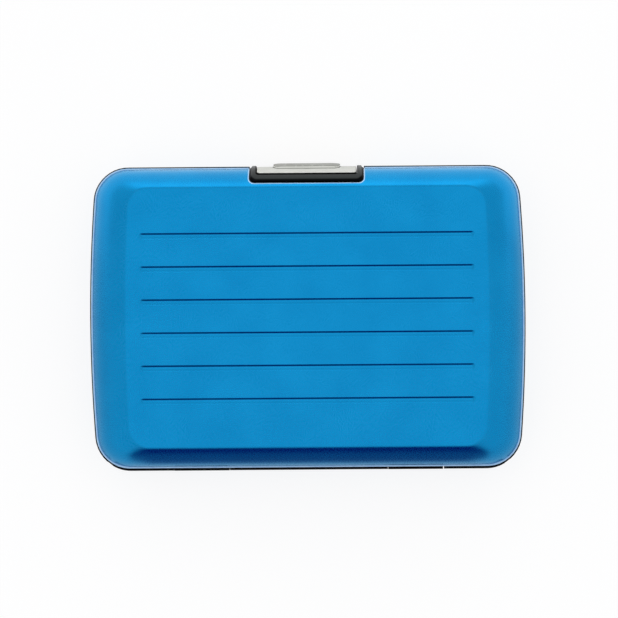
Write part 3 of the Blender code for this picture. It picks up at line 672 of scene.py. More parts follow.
class Finishes:
    """Every finish of the case, made once."""

    def __init__(self) -> None:
        """Makes the materials."""
        palette = Palette()
        self.anodised = Finish(
            name="matt_blue_anodised",
            dark=(0.0015, 0.245, 0.56), light=(0.003, 0.275, 0.61), worn_and_highlight=(0.05, 0.36, 0.68),
            metallic=1.0, rough=(0.23, 0.31), grain_scale=5200.0, grain_depth=0.000006, tone_scale=90.0,
            wear=0.35, wear_rough=0.36, coat=0.1, coat_rough=0.2, edge_tint=(0.74, 0.95, 1.0),
        ).material(palette)
        self.bare_edge = Finish(
            name="bright_trimmed_edge",
            dark=(0.38, 0.60, 0.86), light=(0.48, 0.70, 0.92), worn_and_highlight=(0.8, 0.85, 0.9),
            metallic=1.0, rough=(0.48, 0.58), grain_scale=6000.0, grain_depth=0.000004, tone_scale=400.0,
        ).material(palette)
        self.moulding = Finish(
            name="black_matt_moulding",
            dark=(0.0010, 0.0011, 0.0013), light=(0.0018, 0.0020, 0.0023), worn_and_highlight=(0.005, 0.0055, 0.006),
            metallic=0.0, rough=(0.40, 0.52), grain_scale=3800.0, grain_depth=0.000008, tone_scale=250.0,
            wear=0.5, wear_rough=0.35, specular=0.07,
        ).material(palette)
        # The surround's cool edge tint paints a bluish reflection into the black plastic.
        self.surround = Finish(
            name="black_satin_surround",
            dark=(0.0010, 0.0012, 0.0013), light=(0.0018, 0.0021, 0.0023), worn_and_highlight=(0.004, 0.0045, 0.005),
            metallic=0.0, rough=(0.32, 0.40), grain_scale=3800.0, grain_depth=0.000006, tone_scale=250.0,
            wear=0.4, wear_rough=0.24, specular=0.33, edge_tint=(0.86, 1.0, 1.0),
        ).material(palette)
        # The clasp's shade colour is painted shade, and its worn colour also paints a highlight on the
        # rounded edges.
        self.clasp = Finish(
            name="pale_grey_clasp",
            dark=(0.80, 0.81, 0.76), light=(0.87, 0.88, 0.83), worn_and_highlight=(0.96, 0.97, 0.95),
            metallic=0.0, rough=(0.34, 0.44), grain_scale=4200.0, grain_depth=0.000006, tone_scale=300.0,
            wear=1.0, wear_rough=0.25, specular=0.05, soil=(0.07, 0.068, 0.06),
        ).material(palette)
        self.steel = Finish(
            name="drawn_pin_steel",
            dark=(0.52, 0.52, 0.50), light=(0.66, 0.66, 0.64), worn_and_highlight=(0.75, 0.75, 0.73),
            metallic=1.0, rough=(0.22, 0.34), grain_scale=2500.0, grain_depth=0.000004, tone_scale=500.0,
            wear=0.2, wear_rough=0.2, stretch=(0.08, 1.0, 1.0),
        ).material(palette)
        self.film = Finish(
            name="smoke_pocket_film",
            dark=(0.022, 0.022, 0.024), light=(0.034, 0.034, 0.037), worn_and_highlight=(0.06, 0.06, 0.065),
            metallic=0.0, rough=(0.42, 0.58), grain_scale=2600.0, grain_depth=0.00002, tone_scale=160.0,
            wear=0.5, wear_rough=0.35,
        ).material(palette)


@dataclass
class PressedShell:
    """One stamped aluminium shell: flat face with pressed grooves, arced side wall, clasp notch, cut rim."""

    half: Half
    body: str
    form: CaseForm
    wall: float = 0.00075
    foot: float = 0.00032
    foot_end: float = 0.00002
    foot_rise: float = 0.00016
    foot_edge: float = 0.7
    crease_blend: float = 0.0005
    groove_count: int = 6
    groove_pitch: float = 0.008265
    groove_half_length: float = 0.04187
    groove_half_width: float = 0.00085
    groove_lean: float = 0.45
    groove_depth: float = 0.00036
    groove_drop: float = 0.0002
    notch_half: float = 0.01443
    notch_y: float = 0.03368
    notch_corner: float = 0.0012
    edge_cut: float = 0.00026
    cut_depth: float = 0.00008
    relief: float = 0.0014
    rim_reach: float = 0.0006
    ramp_rows: int = 12
    groove_margin: float = 1.05
    plain_columns: Numbers = (0.0, 0.0035, 0.007, 0.010, 0.018, 0.022, 0.026, 0.030, 0.034)
    groove_end: Span = (0.0398, 0.0429)
    groove_end_columns: int = 30
    usual_bow: float = 1.0165
    edge_column_share: float = 0.999
    arc_steps: int = 14
    notch_steps: int = 8
    crease_steps: int = 4
    upper_steps: int = 12
    lower_steps: int = 8
    crease_rub_shares: Numbers = (0.1, 0.2, 0.25, 0.15, 0.1, 0.05, 0.0)
    rim_rub_shares: Numbers = (0.1, 0.25, 0.5, 0.8, 1.0, 1.0)

    def node(self) -> str:
        """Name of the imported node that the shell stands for."""
        return f"{self.half.name.lower()}_shell"

    def rows(self) -> np.ndarray:
        """Y of the face's rows: close together across the grooves and round the corners, wide elsewhere."""
        radius = self.form.face_corner - self.crease_blend
        ends = self.form.centre[1] + radius * np.sin(quarter(self.arc_steps))
        centres = (np.arange(self.groove_count) - (self.groove_count - 1) / 2) * self.groove_pitch
        easy = np.linspace(-1, self.groove_lean, self.ramp_rows)
        steep = np.linspace(self.groove_lean, 1, self.ramp_rows - 1)[1:]
        steps = np.concatenate([[-self.groove_margin], easy, steep, [self.groove_margin]])
        across = centres[:, None] + steps[None] * self.groove_half_width - self.groove_drop
        between = (centres[1:] + centres[:-1]) / 2
        outer = np.array([-1, 1]) * (centres[-1] + self.groove_pitch / 2)
        middle = np.sort(np.concatenate([across.ravel(), between, outer]))
        return np.concatenate([-ends[::-1], middle, ends])

    def columns(self, notch_step: float) -> np.ndarray:
        """X of the face's columns on its top row, with the notch's corner widened by a step."""
        reach = self.form.centre[0]
        start = self.notch_half - self.notch_corner
        notch = start + (self.notch_corner + notch_step) * np.sin(quarter(self.notch_steps))
        face_reach = reach + self.form.face_corner
        ends = np.linspace(*self.groove_end, self.groove_end_columns) * reach / face_reach / self.usual_bow
        last = [reach * self.edge_column_share, reach]
        right = np.sort(np.concatenate([self.plain_columns, notch, ends, last]))
        return np.concatenate([-right[:0:-1], right])

    def groove(self, x: np.ndarray, y: np.ndarray) -> np.ndarray:
        """Depth of the grooves about the nearest groove's lowest line, which lies towards the clasp.

        The depth eases off by a half cosine on that side, and on the other side, which is wider, by the
        square of the distance. Round the ends the two are mixed by the distance's direction.

        Args:
            x: X of the points.
            y: Y of the points.

        Returns:
            The depth at each point."""
        offset = (y + self.groove_drop) / self.groove_pitch + (self.groove_count - 1) / 2
        nearest = np.clip(np.round(offset), 0, self.groove_count - 1)
        across = (offset - nearest) * self.groove_pitch / self.groove_half_width - self.groove_lean
        across = across / np.where(across > 0, 1 - self.groove_lean, 1 + self.groove_lean)
        along = np.maximum((np.abs(x) - self.groove_half_length) / self.groove_half_width + 1, 0)
        away = np.hypot(along, across)
        share = np.clip(away, 0, 1)
        steep = 0.5 + 0.5 * across / np.maximum(away, WELD)
        wall, ramp = (1 + np.cos(math.pi * share)) / 2, 1 - share**2
        return self.groove_depth * (ramp + (wall - ramp) * steep)

    def face(self, columns: np.ndarray) -> tuple[np.ndarray, np.ndarray]:
        """The flat face, and the crease's seeds round it.

        Each row's columns are the top row's, times the ratio of their half widths; then the bow is applied
        and the grooves are taken off the height.

        Args:
            columns: X of the columns on the top row.

        Returns:
            The face's grid, and the seeds round its edge, counterclockwise from the lower right."""
        form = self.form
        centre, radius = form.centre, form.face_corner - self.crease_blend
        y = self.rows()
        above = np.maximum(np.abs(y) - centre[1], 0)
        reach = centre[0] + np.sqrt(np.maximum(radius**2 - above**2, 0))
        x = columns[None] / columns[-1] * reach[:, None]
        size = form.width / 2 - form.side_run - form.face_bulge
        high = form.height / 2 - form.long_run
        plain = np.stack([x, np.broadcast_to(y[:, None], x.shape)], axis=-1)
        edge = round_edge(plain)
        extent = np.abs(edge)
        seeds = np.minimum(extent, centre) + np.maximum(extent - centre, 0) * form.face_corner / radius
        seeds = seeds * np.where(edge < 0, -1, 1)
        bowed = x * (1 + form.face_bulge / size * (1 - (y[:, None] / high) ** 2))
        height = form.half_depth - self.groove(bowed, plain[..., 1])
        return np.stack([bowed, plain[..., 1], height], axis=-1), seeds

    def in_notch(self, seeds: np.ndarray, step: float) -> np.ndarray:
        """Which seeds lie on the clasp side within the notch."""
        return (seeds[:, 1] > 0) & (np.abs(seeds[:, 0]) < self.notch_half + step + WELD) & (
            np.abs(seeds[:, 1]) > self.form.centre[1] + self.form.face_corner - WELD
        )

    def notch_end(self, x: np.ndarray, step: float) -> np.ndarray:
        """Y of the notch's edge seen from the front: straight, then a quarter round up to its sides."""
        start = self.notch_half - self.notch_corner
        radius = self.notch_corner + step
        beyond = np.clip(np.abs(x) - start, 0, radius)
        return self.notch_y + self.notch_corner - np.sqrt(radius**2 - beyond**2)

    def base(self, wall: Wall) -> np.ndarray:
        """Height of the rim over the seam, raised where the hinge barrels need room."""
        across = wall.rim[:, 1] - self.form.hinge_y
        lifted = np.sqrt(np.maximum(self.relief**2 - across**2, 0))
        return np.maximum(np.where(wall.rim[:, 1] < 0, lifted, 0), self.form.rim_rise)

    def angles(
        self, wall: Wall, seeds: np.ndarray, inset: float, step: float, start: np.ndarray
    ) -> np.ndarray:
        """Angles of the wall's rows: evenly from a start to the notch's level or edge, then to the foot.

        Args:
            wall: The side wall's arcs.
            seeds: The crease's seeds.
            inset: Depth of the surface below the skin.
            step: How far outside the notch's outline its edge lies.
            start: Angles of the first row.

        Returns:
            The angles, shaped rows, seeds."""
        notch_end = self.notch_y + self.notch_corner
        side = self.form.height / 2 - self.form.long_run
        top = Wall(self.form, np.array([[0.0, side]]), -self.foot)
        share = (top.angle_at_setback(top.rim[0, 1] - notch_end, inset) - top.low) / self.form.turn
        middle = wall.low + share * self.form.turn
        end = wall.angle_at_setback(wall.rim[:, 1] - self.notch_end(seeds[:, 0], step), inset)
        middle = np.where(self.in_notch(seeds, step), end, middle)
        last = wall.angle_at_height(self.base(wall) + self.foot_rise, inset)
        upper = blended(start, middle, self.upper_steps)
        return np.concatenate([upper, blended(middle, last, self.lower_steps)[1:]])

    def outer(self, face: np.ndarray, seeds: np.ndarray) -> tuple[np.ndarray, np.ndarray]:
        """The outside of the wall, from the face's edge over the crease down to the flared foot.

        The crease is a quadratic curve from the face to the wall, and the foot steps out by its own width.

        Args:
            face: The face's grid.
            seeds: The crease's seeds.

        Returns:
            The grid, shaped rows, seeds, 3, and how far each point is rubbed."""
        wall = Wall(self.form, seeds, -self.foot)
        start = wall.high - self.crease_blend / wall.radius
        edge = round_edge(face)
        corner = level(self.form.crease(seeds), self.form.half_depth)
        first = wall.at(start, 0.0)
        share = np.linspace(0, 1, self.crease_steps + 1)[:-1, None, None]
        crease = edge * (1 - share) ** 2 + corner * 2 * share * (1 - share) + first * share**2
        sides = wall.at(self.angles(wall, seeds, 0.0, self.edge_cut, start), 0.0)
        base = self.base(wall)
        flat = self.form.rim(seeds, -self.foot_end)
        lower = np.column_stack([flat, base + self.foot_rise * self.foot_edge])
        last = np.column_stack([flat, base])
        rubbed = np.zeros((len(crease) + len(sides) + 2, len(seeds)))
        rubbed[1 : 1 + len(self.crease_rub_shares)] = np.array(self.crease_rub_shares)[:, None]
        rubbed[-len(self.rim_rub_shares) :] = np.array(self.rim_rub_shares)[:, None]
        return np.concatenate([crease, sides, lower[None], last[None]]), rubbed

    def build(self, finishes: Finishes) -> bpy.types.Object:
        """Builds the shell: face, wall, bright edge all round, and the inside.

        Args:
            finishes: The case's materials.

        Returns:
            The new object."""
        face, seeds = self.face(self.columns(self.edge_cut))
        outer, rubbed = self.outer(face, seeds)
        _, true_seeds = self.face(self.columns(0.0))
        wall = Wall(self.form, true_seeds, -self.foot)
        start = wall.angle_at_height(self.form.half_depth - self.wall, self.wall)
        inner = self.lined(wall, true_seeds, self.wall, start)
        middle = self.lined(wall, true_seeds, self.cut_depth, wall.high)
        notch_row = self.crease_steps + self.upper_steps
        open_columns = self.in_notch(seeds, self.edge_cut)
        both = open_columns & np.roll(open_columns, -1)
        surface = Surface()
        surface.add(face)
        keep = np.ones((len(outer) - 1, len(seeds)), bool)
        keep[notch_row:, both] = False
        bright = np.zeros_like(keep)
        bright[-2:] = True
        surface.add(outer, round_columns=True, keep=keep & ~bright, rubbed=rubbed)
        surface.add(outer, round_columns=True, keep=keep & bright, kind=1)
        keep = np.ones((len(inner) - 1, len(seeds)), bool)
        keep[self.upper_steps:, both] = False
        surface.add(inner, round_columns=True, keep=keep)
        surface.cap(inner[0])
        rows = (outer, notch_row), (middle, self.upper_steps), (inner, self.upper_steps)
        loops = [self.loop(grid, row, open_columns) for grid, row in rows]
        on_rim = np.isclose(loops[0][:, 2], outer[-1, :, 2].min(), atol=self.rim_reach) & (
            np.abs(loops[0][:, 0]) > self.notch_half + self.edge_cut + WELD
        )
        loops[1][on_rim] = loops[0][on_rim]
        surface.add(np.stack(loops), round_columns=True, kind=1)
        made = surface.piece(self.node() + "_pressed", [finishes.anodised, finishes.bare_edge], self.half)
        return dressed(made, self.body, self.node())

    def lined(self, wall: Wall, seeds: np.ndarray, inset: float, start: np.ndarray) -> np.ndarray:
        """Rows of a surface below the skin down to the rim's base, matched to the outside's lower rows."""
        rows = wall.at(self.angles(wall, seeds, inset, 0.0, start), inset)
        base = self.base(wall)
        lower = wall.at(wall.angle_at_height(base + self.foot_rise * self.foot_edge, inset), inset)
        last = wall.at(wall.angle_at_height(base, inset), inset)
        return np.concatenate([rows, lower[None], last[None]])

    @staticmethod
    def loop(grid: np.ndarray, row: int, open_columns: np.ndarray) -> np.ndarray:
        """The open edge of a wall grid: along the rim, up and round the notch, and on along the rim."""
        inside = np.flatnonzero(open_columns)
        first, last = inside[0], inside[-1]
        return np.concatenate(
            [
                grid[-1, :first],
                grid[:row:-1, first],
                grid[row, first : last + 1],
                grid[row + 1 :, last],
                grid[-1, last + 1 :],
            ]
        )


def dressed(made: bpy.types.Object, body: str, node: str) -> bpy.types.Object:
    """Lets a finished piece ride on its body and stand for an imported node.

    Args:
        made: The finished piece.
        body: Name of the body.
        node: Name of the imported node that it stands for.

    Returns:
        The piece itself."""
    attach(made, body)
    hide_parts(node)
    return made


@dataclass
class MouldedFrame:
    """One black frame: a ring of L section with a lip at the seam, and its share of the hinge knuckles."""

    half: Half
    body: str
    form: CaseForm
    seat: float = 0.00007
    flange_top: float = 0.00089
    round_edge: float = 0.00014
    inset: float = 0.0012
    wall: float = 0.0012
    rise: float = 0.0043
    notch_half: float = 0.014425
    relief: float = 0.0014
    knuckle_gap: float = 0.00004
    knuckle_play: float = 0.00013
    middle_edge: float = 0.020
    end_edge: float = 0.034
    hinge_edge: float = 0.046
    runout: float = 0.0035
    corner_steps: int = 16
    barrel_sides: int = 40
    top_steps: int = 13
    end_steps: int = 12
    plain_places: Numbers = (0.039, 0.037, 0.030, 0.027, 0.024, 0.017, 0.012, 0.006)
    knuckle_probe: float = 0.001
    round_steps: int = 3
    outer_rows: Numbers = (0.0011, 0.0013, 0.0016, 0.0022, 0.003, 0.0038)
    inner_rows: Numbers = (0.003, 0.0018, 0.0009)
    lip_rub_shares: Numbers = (0.3, 0.7, 1.0, 1.0, 1.0, 0.7, 0.3)
    barrel_rub: float = 0.4
    ease_share: float = 0.3
    far_rows: int = 22
    near_rows: int = 3
    lip_share: float = 0.2
    tuck: float = 0.00002
    trace_steps: int = 89

    @property
    def owns_ends(self) -> bool:
        """Whether this frame carries the centre and end knuckles, or the two between them."""
        return self.half is Half.REAR

    def gaps(self, side: float) -> np.ndarray:
        """Half gaps beside the middle and the end knuckles; all the hinge's play lies at its right end."""
        slack = self.knuckle_play if side * self.half.value[0] > 0 else self.knuckle_gap
        return np.array([self.knuckle_gap, slack])

    def seeds(self) -> tuple[np.ndarray, np.ndarray]:
        """Seeds round the case from one side of the clasp to the other, and which give way to the hinge."""
        right, marked = self.side_seeds(1.0)
        left, flagged = self.side_seeds(-1.0)
        return np.concatenate([right, left[::-1]]), np.concatenate([marked, flagged[::-1]])

    def side_seeds(self, side: float) -> tuple[np.ndarray, np.ndarray]:
        """Seeds of one side, from the clasp round to the middle of the hinge.

        Where the relief for the other frame's knuckles starts or ends, two seeds share one place.

        Args:
            side: 1 for the side of positive x, or -1.

        Returns:
            The seeds, shaped n, 2, and a flag for each that is relieved for the hinge."""
        centre = self.form.centre
        radius = self.form.face_corner
        turn = quarter(self.corner_steps)
        arc = centre + radius * np.column_stack([np.cos(turn), np.sin(turn)])
        high = centre[1] + radius
        top_x = np.linspace(self.notch_half, centre[0], self.top_steps + 1)[:-1]
        top = level(top_x, high)
        end_y = np.linspace(centre[1], -centre[1], self.end_steps + 1)[1:-1]
        end = level(end_y, centre[0] + radius)[:, ::-1]
        gaps = self.gaps(side) * (1 if self.owns_ends else -1)
        edges = np.array([self.middle_edge, self.end_edge]) + gaps * (-1, 1)
        plain = np.array(self.plain_places)
        x = np.concatenate([plain, edges, edges])
        flags = np.concatenate([self.relieved(plain), [True, True, False, False]])
        order = np.lexsort((self.nudge(x, flags), -x))
        bottom = level(x[order], -high)
        path = np.concatenate([top, arc[::-1], end, arc * (1, -1), bottom])
        upper = np.zeros(len(top) + len(arc) + len(end), bool)
        flag = np.concatenate([upper, np.full(len(arc), not self.owns_ends), flags[order]])
        return path * (side, 1), flag

    def relieved(self, x: np.ndarray) -> np.ndarray:
        """Whether the frame gives way at an x to the other frame's knuckle."""
        between = (np.abs(x) > self.middle_edge) & (np.abs(x) < self.end_edge)
        return between if self.owns_ends else ~between

    def nudge(self, x: np.ndarray, flags: np.ndarray) -> np.ndarray:
        """Order of the two seeds at one x: the flag of the side that the path comes from is first."""
        outside = self.relieved(x + self.knuckle_probe)
        return np.where(flags == outside, 0, 1)

    def ring(self) -> tuple[np.ndarray, np.ndarray]:
        """The ring's grid: each row of the section is an outline at one height.

        The section runs from the foot of the inner wall out along the seat, round the lip, back along the
        flange, up the outer wall and down the inner one. Where the other frame's knuckles turn, every
        point is moved inward until it clears them.

        Returns:
            The grid, shaped rows, seeds, 3, and how far each point is rubbed."""
        seeds, flags = self.seeds()
        wall = Wall(self.form, seeds)
        back = self.inset + self.wall
        r = self.round_edge
        rows = [wall.row(self.seat, back), self.lip(seeds, self.seat, -r)]
        for turn in quarter(self.round_steps)[1:]:
            rows.append(self.lip(seeds, self.seat + r * (1 - math.cos(turn)), r * (math.sin(turn) - 1)))
        for turn in quarter(self.round_steps):
            rows.append(self.lip(seeds, self.flange_top - r * (1 - math.sin(turn)), r * (math.cos(turn) - 1)))
        rows += [wall.row(z, self.inset) for z in (self.flange_top, *self.outer_rows, self.rise - r)]
        rows += [wall.row(self.rise, self.inset + r), wall.row(self.rise, back - r)]
        rows += [wall.row(z, back) for z in (self.rise - r, *self.inner_rows)]
        grid = np.stack(rows)
        clear = self.form.hinge_y + np.sqrt(np.maximum(self.relief**2 - grid[..., 2] ** 2, 0))
        grid[..., 1] = np.where(flags & (grid[..., 1] < 0), np.maximum(grid[..., 1], clear), grid[..., 1])
        rubbed = np.zeros(grid.shape[:2])
        rubbed[2 : 2 + len(self.lip_rub_shares)] = np.array(self.lip_rub_shares)[:, None]
        return grid, rubbed

    def lip(self, seeds: np.ndarray, height: float, step: float) -> np.ndarray:
        """The lip's outline at a height, a step outside its edge."""
        return level(self.form.lip_line(seeds, step), height)

    def barrel(self, surface: Surface, low: float, high: float) -> None:
        """Adds one hinge knuckle, a rounded-edged cylinder about the hinge's axis.

        Past the hinge's straight run its outside is moved in to the lip's outline, less where it turns in.

        Args:
            surface: The surface to add to.
            low: X of one end.
            high: X of the other."""
        r = self.round_edge
        ends = np.array([0.0, r * self.ease_share, r])
        shrink = np.array([r, r * self.ease_share, 0.0])
        far = max(abs(low), abs(high)) > self.hinge_edge
        steps = np.linspace(low + r, high - r, self.far_rows if far else self.near_rows)[1:-1]
        x = np.concatenate([low + ends, steps, high - ends[::-1]])
        radius = self.form.barrel_radius - np.concatenate([shrink, np.zeros(len(steps)), shrink[::-1]])
        grid = circles(x, radius, self.form.hinge_y, 0.0, self.barrel_sides)
        if far:
            turn = np.linspace(0, 2 * math.pi, self.barrel_sides, endpoint=False)
            least = self.lip_y(x)[:, None] + r * self.lip_share + self.tuck * np.cos(turn)
            grid[..., 1] = np.maximum(grid[..., 1], least)
        surface.tube(grid, rubbed=self.barrel_rub)

    def lip_y(self, x: np.ndarray) -> np.ndarray:
        """Y of the lip's outline at the hinge side, by x."""
        turn = quarter(self.trace_steps)
        arc = self.form.centre + self.form.face_corner * np.column_stack([np.sin(turn), np.cos(turn)])
        line = self.form.lip_line(arc * (1, -1))
        return np.interp(np.abs(x), line[:, 0], line[:, 1])

    def spans(self) -> list[Span]:
        """X spans of this frame's own knuckles."""
        right, left = self.gaps(1.0), self.gaps(-1.0)
        middle, end, far = self.middle_edge, self.end_edge, self.hinge_edge + self.runout
        if self.owns_ends:
            return [(-far, -end - left[1]), (left[0] - middle, middle - right[0]), (end + right[1], far)]
        return [(left[1] - end, -middle - left[0]), (middle + right[0], end - right[1])]

    def build(self, finishes: Finishes) -> bpy.types.Object:
        """Builds the frame.

        Args:
            finishes: The case's materials.

        Returns:
            The new object."""
        grid, rubbed = self.ring()
        surface = Surface().add(grid, round_rows=True, rubbed=rubbed)
        surface.cap(grid[:, 0]).cap(grid[:, -1])
        for low, high in self.spans():
            self.barrel(surface, low, high)
        node = f"{self.half.name.lower()}_frame"
        made = surface.piece(node + "_moulded", [finishes.moulding], self.half)
        return dressed(made, self.body, node)


def solid_along_x(surface: Surface, outline: np.ndarray, low: float, high: float, cut: float) -> None:
    """Adds a convex outline carried along X, with its end edges cut back.

    Each row is the outline at one x; at the ends it is drawn towards its middle by the cut.

    Args:
        surface: The surface to add to.
        outline: Y and height of its points, shaped n, 2.
        low: X of one end.
        high: X of the other.
        cut: Width of the cut at the end edges."""
    middle = outline.mean(axis=0)
    towards = middle - outline
    shrunk = outline + towards / np.linalg.norm(towards, axis=1)[:, None] * cut
    rows = [shrunk, outline, outline, shrunk]
    places = [low, low + cut, high - cut, high]
    grid = np.stack([np.column_stack([np.full(len(row), x), row]) for row, x in zip(rows, places)])
    surface.tube(grid)


@dataclass(frozen=True)
class ClaspSizes:
    """Sizes that the clasp's housings and lever share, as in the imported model."""

    window_half: float = 0.01268
    window_rise: float = 0.00765
    window_corner: float = 0.0007
    bar_top: float = 0.00917
    bezel_half: float = 0.01392
    bezel_corner: float = 0.0015
    housing_half: float = 0.0144
    notch_floor: float = 0.03371
    notch_corner: float = 0.00117
    back_y: float = 0.031475
    floor_y: float = 0.032475
    ceiling: float = 0.0093
    catch_top: float = 0.004229
    pivot_y: float = 0.034575
    pivot_drop: float = 0.003509
    pin_radius: float = 0.0005


@dataclass
class ClaspHousing:
    """One housing of the clasp: a raised, round-shouldered bezel like a U, on a block behind the window."""

    half: Half
    body: str
    side: ClaspSide
    sizes: ClaspSizes
    proud: float = 0.00045
    border: float = 0.00025
    sunk: float = 0.0011
    shoulder: float = 0.0004
    thin: float = 0.0012
    deep: float = 0.0018
    foot: float = 0.00007
    arm_steps: int = 16
    corner_steps: int = 12
    bar_steps: int = 16
    bead_steps: int = 6
    bead_first: int = 5
    bead_last: int = 10
    bead_rub: float = 0.6
    inner_share: float = 0.6
    skin_gap: float = 0.0002
    cheek_cut: float = 0.0001
    bar_cut: float = 0.00005
    cheek_rows: int = 12
    roof_rows: int = 6
    ledge_half: float = 0.006
    ledge_behind: float = 0.001
    ledge_short: float = 0.0009
    ledge_thick: float = 0.0012
    ledge_root: float = 0.0005
    ledge_nose: float = 0.0003
    ledge_cut: float = 0.0001

    def u_line(self, half_width: float, top: float, corner: float) -> np.ndarray:
        """A U open at the seam: up one side, round a corner, across, round the other, and down.

        Args:
            half_width: Half of its width.
            top: Height of its cross bar over the seam.
            corner: Radius of its corners.

        Returns:
            X and height of its points, shaped n, 2."""
        foot, knee = np.array([half_width, self.foot]), np.array([half_width, top - corner])
        turn = quarter(self.corner_steps)[1:]
        bend = np.array([half_width, top]) - corner + corner * np.column_stack([np.cos(turn), np.sin(turn)])
        across = np.linspace(half_width - corner, 0, self.bar_steps // 2 + 1)[1:]
        return mirrored(np.concatenate([blended(foot, knee, self.arm_steps), bend, level(across, top)]))

    def root_depths(self) -> np.ndarray:
        """Depth of the bezel's root below the skin: slight beside the arms, and eased to the bar's."""
        bend = np.sin(quarter(self.corner_steps)[1:]) ** 2
        share = np.concatenate([np.zeros(self.arm_steps + 1), bend, np.ones(self.bar_steps // 2)])
        depth = self.border + (self.sunk - self.border) * share
        return np.concatenate([depth, depth[-2::-1]])

    def notch_line(self, inset: np.ndarray) -> np.ndarray:
        """The notch's outline, drawn from the front, carried to surfaces below the skin.

        Args:
            inset: Depth below the skin at each point.

        Returns:
            The outline's points, shaped n, 3, matched to a U's."""
        sizes = self.sizes
        turn = quarter(self.corner_steps)[1:]
        bend_x = sizes.housing_half - sizes.notch_corner * (1 - np.cos(turn))
        bend_y = sizes.notch_floor + sizes.notch_corner * (1 - np.sin(turn))
        across = np.linspace(bend_x[-1], 0, self.bar_steps // 2 + 1)[1:]
        y = np.concatenate([bend_y, np.full(len(across), sizes.notch_floor)])
        knee = float(self.side.height(np.array(sizes.notch_floor + sizes.notch_corner), inset[0]))
        arm = np.linspace(self.foot, knee, self.arm_steps + 1)
        x = np.concatenate([np.full(len(arm), sizes.housing_half), bend_x, across])
        below = inset[len(arm) : len(x)]
        z = np.concatenate([arm, self.side.height(y, below)])
        return self.raised(mirrored(np.column_stack([x, z])), inset)

    def raised(self, line: np.ndarray, inset: float | np.ndarray) -> np.ndarray:
        """Points of a line at a depth below the skin, or above it where the depth is negative."""
        return np.column_stack([line[:, 0], self.side.y(line[:, 1], inset), line[:, 1]])

    def bezel(self, surface: Surface) -> None:
        """Adds the bezel: rows from the notch's edge up its outer side, over the bead and down to the window.

        The bead's shoulders are quarter rounds. Between the outer and the inner line the rows are mixed by
        their share of the way across. The bead is satin, and its two sides take the matt moulding, a duller
        copy of the same black plastic that darkens them as painted shade.

        Args:
            surface: The surface to add to."""
        sizes, r = self.sizes, self.shoulder
        outer = self.u_line(sizes.bezel_half, sizes.bar_top, sizes.bezel_corner)
        inner = self.u_line(sizes.window_half, sizes.window_rise, sizes.window_corner)
        rows = [self.notch_line(np.full(len(outer), self.deep)), self.notch_line(self.root_depths())]
        width = np.linalg.norm(inner - outer, axis=1)[:, None]
        turn = quarter(self.bead_steps)
        for start, size, angles in ((0, r, turn), (1, r * self.inner_share, turn[::-1])):
            for angle in angles:
                share = abs(start - size * (1 - math.cos(angle)) / width)
                line = outer + (inner - outer) * share
                rows.append(self.side.lifted(line, self.proud - size * (1 - math.sin(angle))))
        rows.append(self.side.lifted(inner, -self.thin))
        rows.append(self.raised(inner, self.deep))
        grid = np.stack(rows)
        surface.add(grid[self.bead_first : self.bead_last], rubbed=self.bead_rub)
        # The sides take the matt moulding, a duller copy of the bead's plastic, as painted shade.
        sides = np.concatenate([grid[self.bead_last - 1 :], grid[: self.bead_first + 1]])
        surface.add(sides, kind=1)
        surface.cap(grid[:, 0]).cap(grid[:, -1])

    def behind(self, low: float, rows: int) -> np.ndarray:
        """A profile up the back of the skin, from a height to the ceiling, and down the housing's inside.

        Args:
            low: Height at which it starts.
            rows: Points on the skin's back.

        Returns:
            Y and height of its points, shaped n, 2."""
        top, inside = self.sizes.ceiling - self.skin_gap, self.sizes.back_y
        heights = np.linspace(low, top, rows)
        skin = np.column_stack([self.side.y(heights, self.deep - self.skin_gap), heights])
        return np.concatenate([skin, [[inside, top], [inside, low]]])

    def block(self, surface: Surface) -> None:
        """Adds the back wall, the two cheeks and the roof of the housing."""
        sizes = self.sizes
        window, side = sizes.window_half, sizes.housing_half
        for low, high in ((window, side), (-side, -window)):
            solid_along_x(surface, self.behind(self.foot, self.cheek_rows), low, high, self.cheek_cut)
        roof = self.behind(sizes.window_rise, self.roof_rows)
        inside, floor, top = sizes.back_y, sizes.floor_y, sizes.window_rise + self.skin_gap
        back = np.array([[inside, self.foot], [floor, self.foot], [floor, top], [inside, top]])
        for profile in (roof, back):
            solid_along_x(surface, profile, -window, window, self.bar_cut)

    def catch(self, surface: Surface) -> None:
        """Adds the ledge that the lever's hook holds."""
        top = self.sizes.catch_top
        tip = float(self.side.y(np.array(top), self.ledge_behind)) - self.ledge_short
        root, low = self.sizes.back_y + self.ledge_root, top - self.ledge_thick
        nose = [[tip, top - self.ledge_nose], [tip, top - self.ledge_cut], [tip - self.ledge_cut, top]]
        profile = np.array([[root, low], [self.sizes.floor_y, low], *nose, [root, top]])
        solid_along_x(surface, profile, -self.ledge_half, self.ledge_half, self.ledge_cut)

    def build(self, finishes: Finishes) -> bpy.types.Object:
        """Builds the housing.

        Args:
            finishes: The case's materials.

        Returns:
            The new object."""
        surface = Surface()
        self.bezel(surface)
        self.block(surface)
        if self.half is Half.FRONT:
            self.catch(surface)
        node = f"{self.half.name.lower()}_clasp_housing"
        made = surface.piece(node + "_moulded", [finishes.surround, finishes.moulding], self.half)
        return dressed(made, self.body, node)


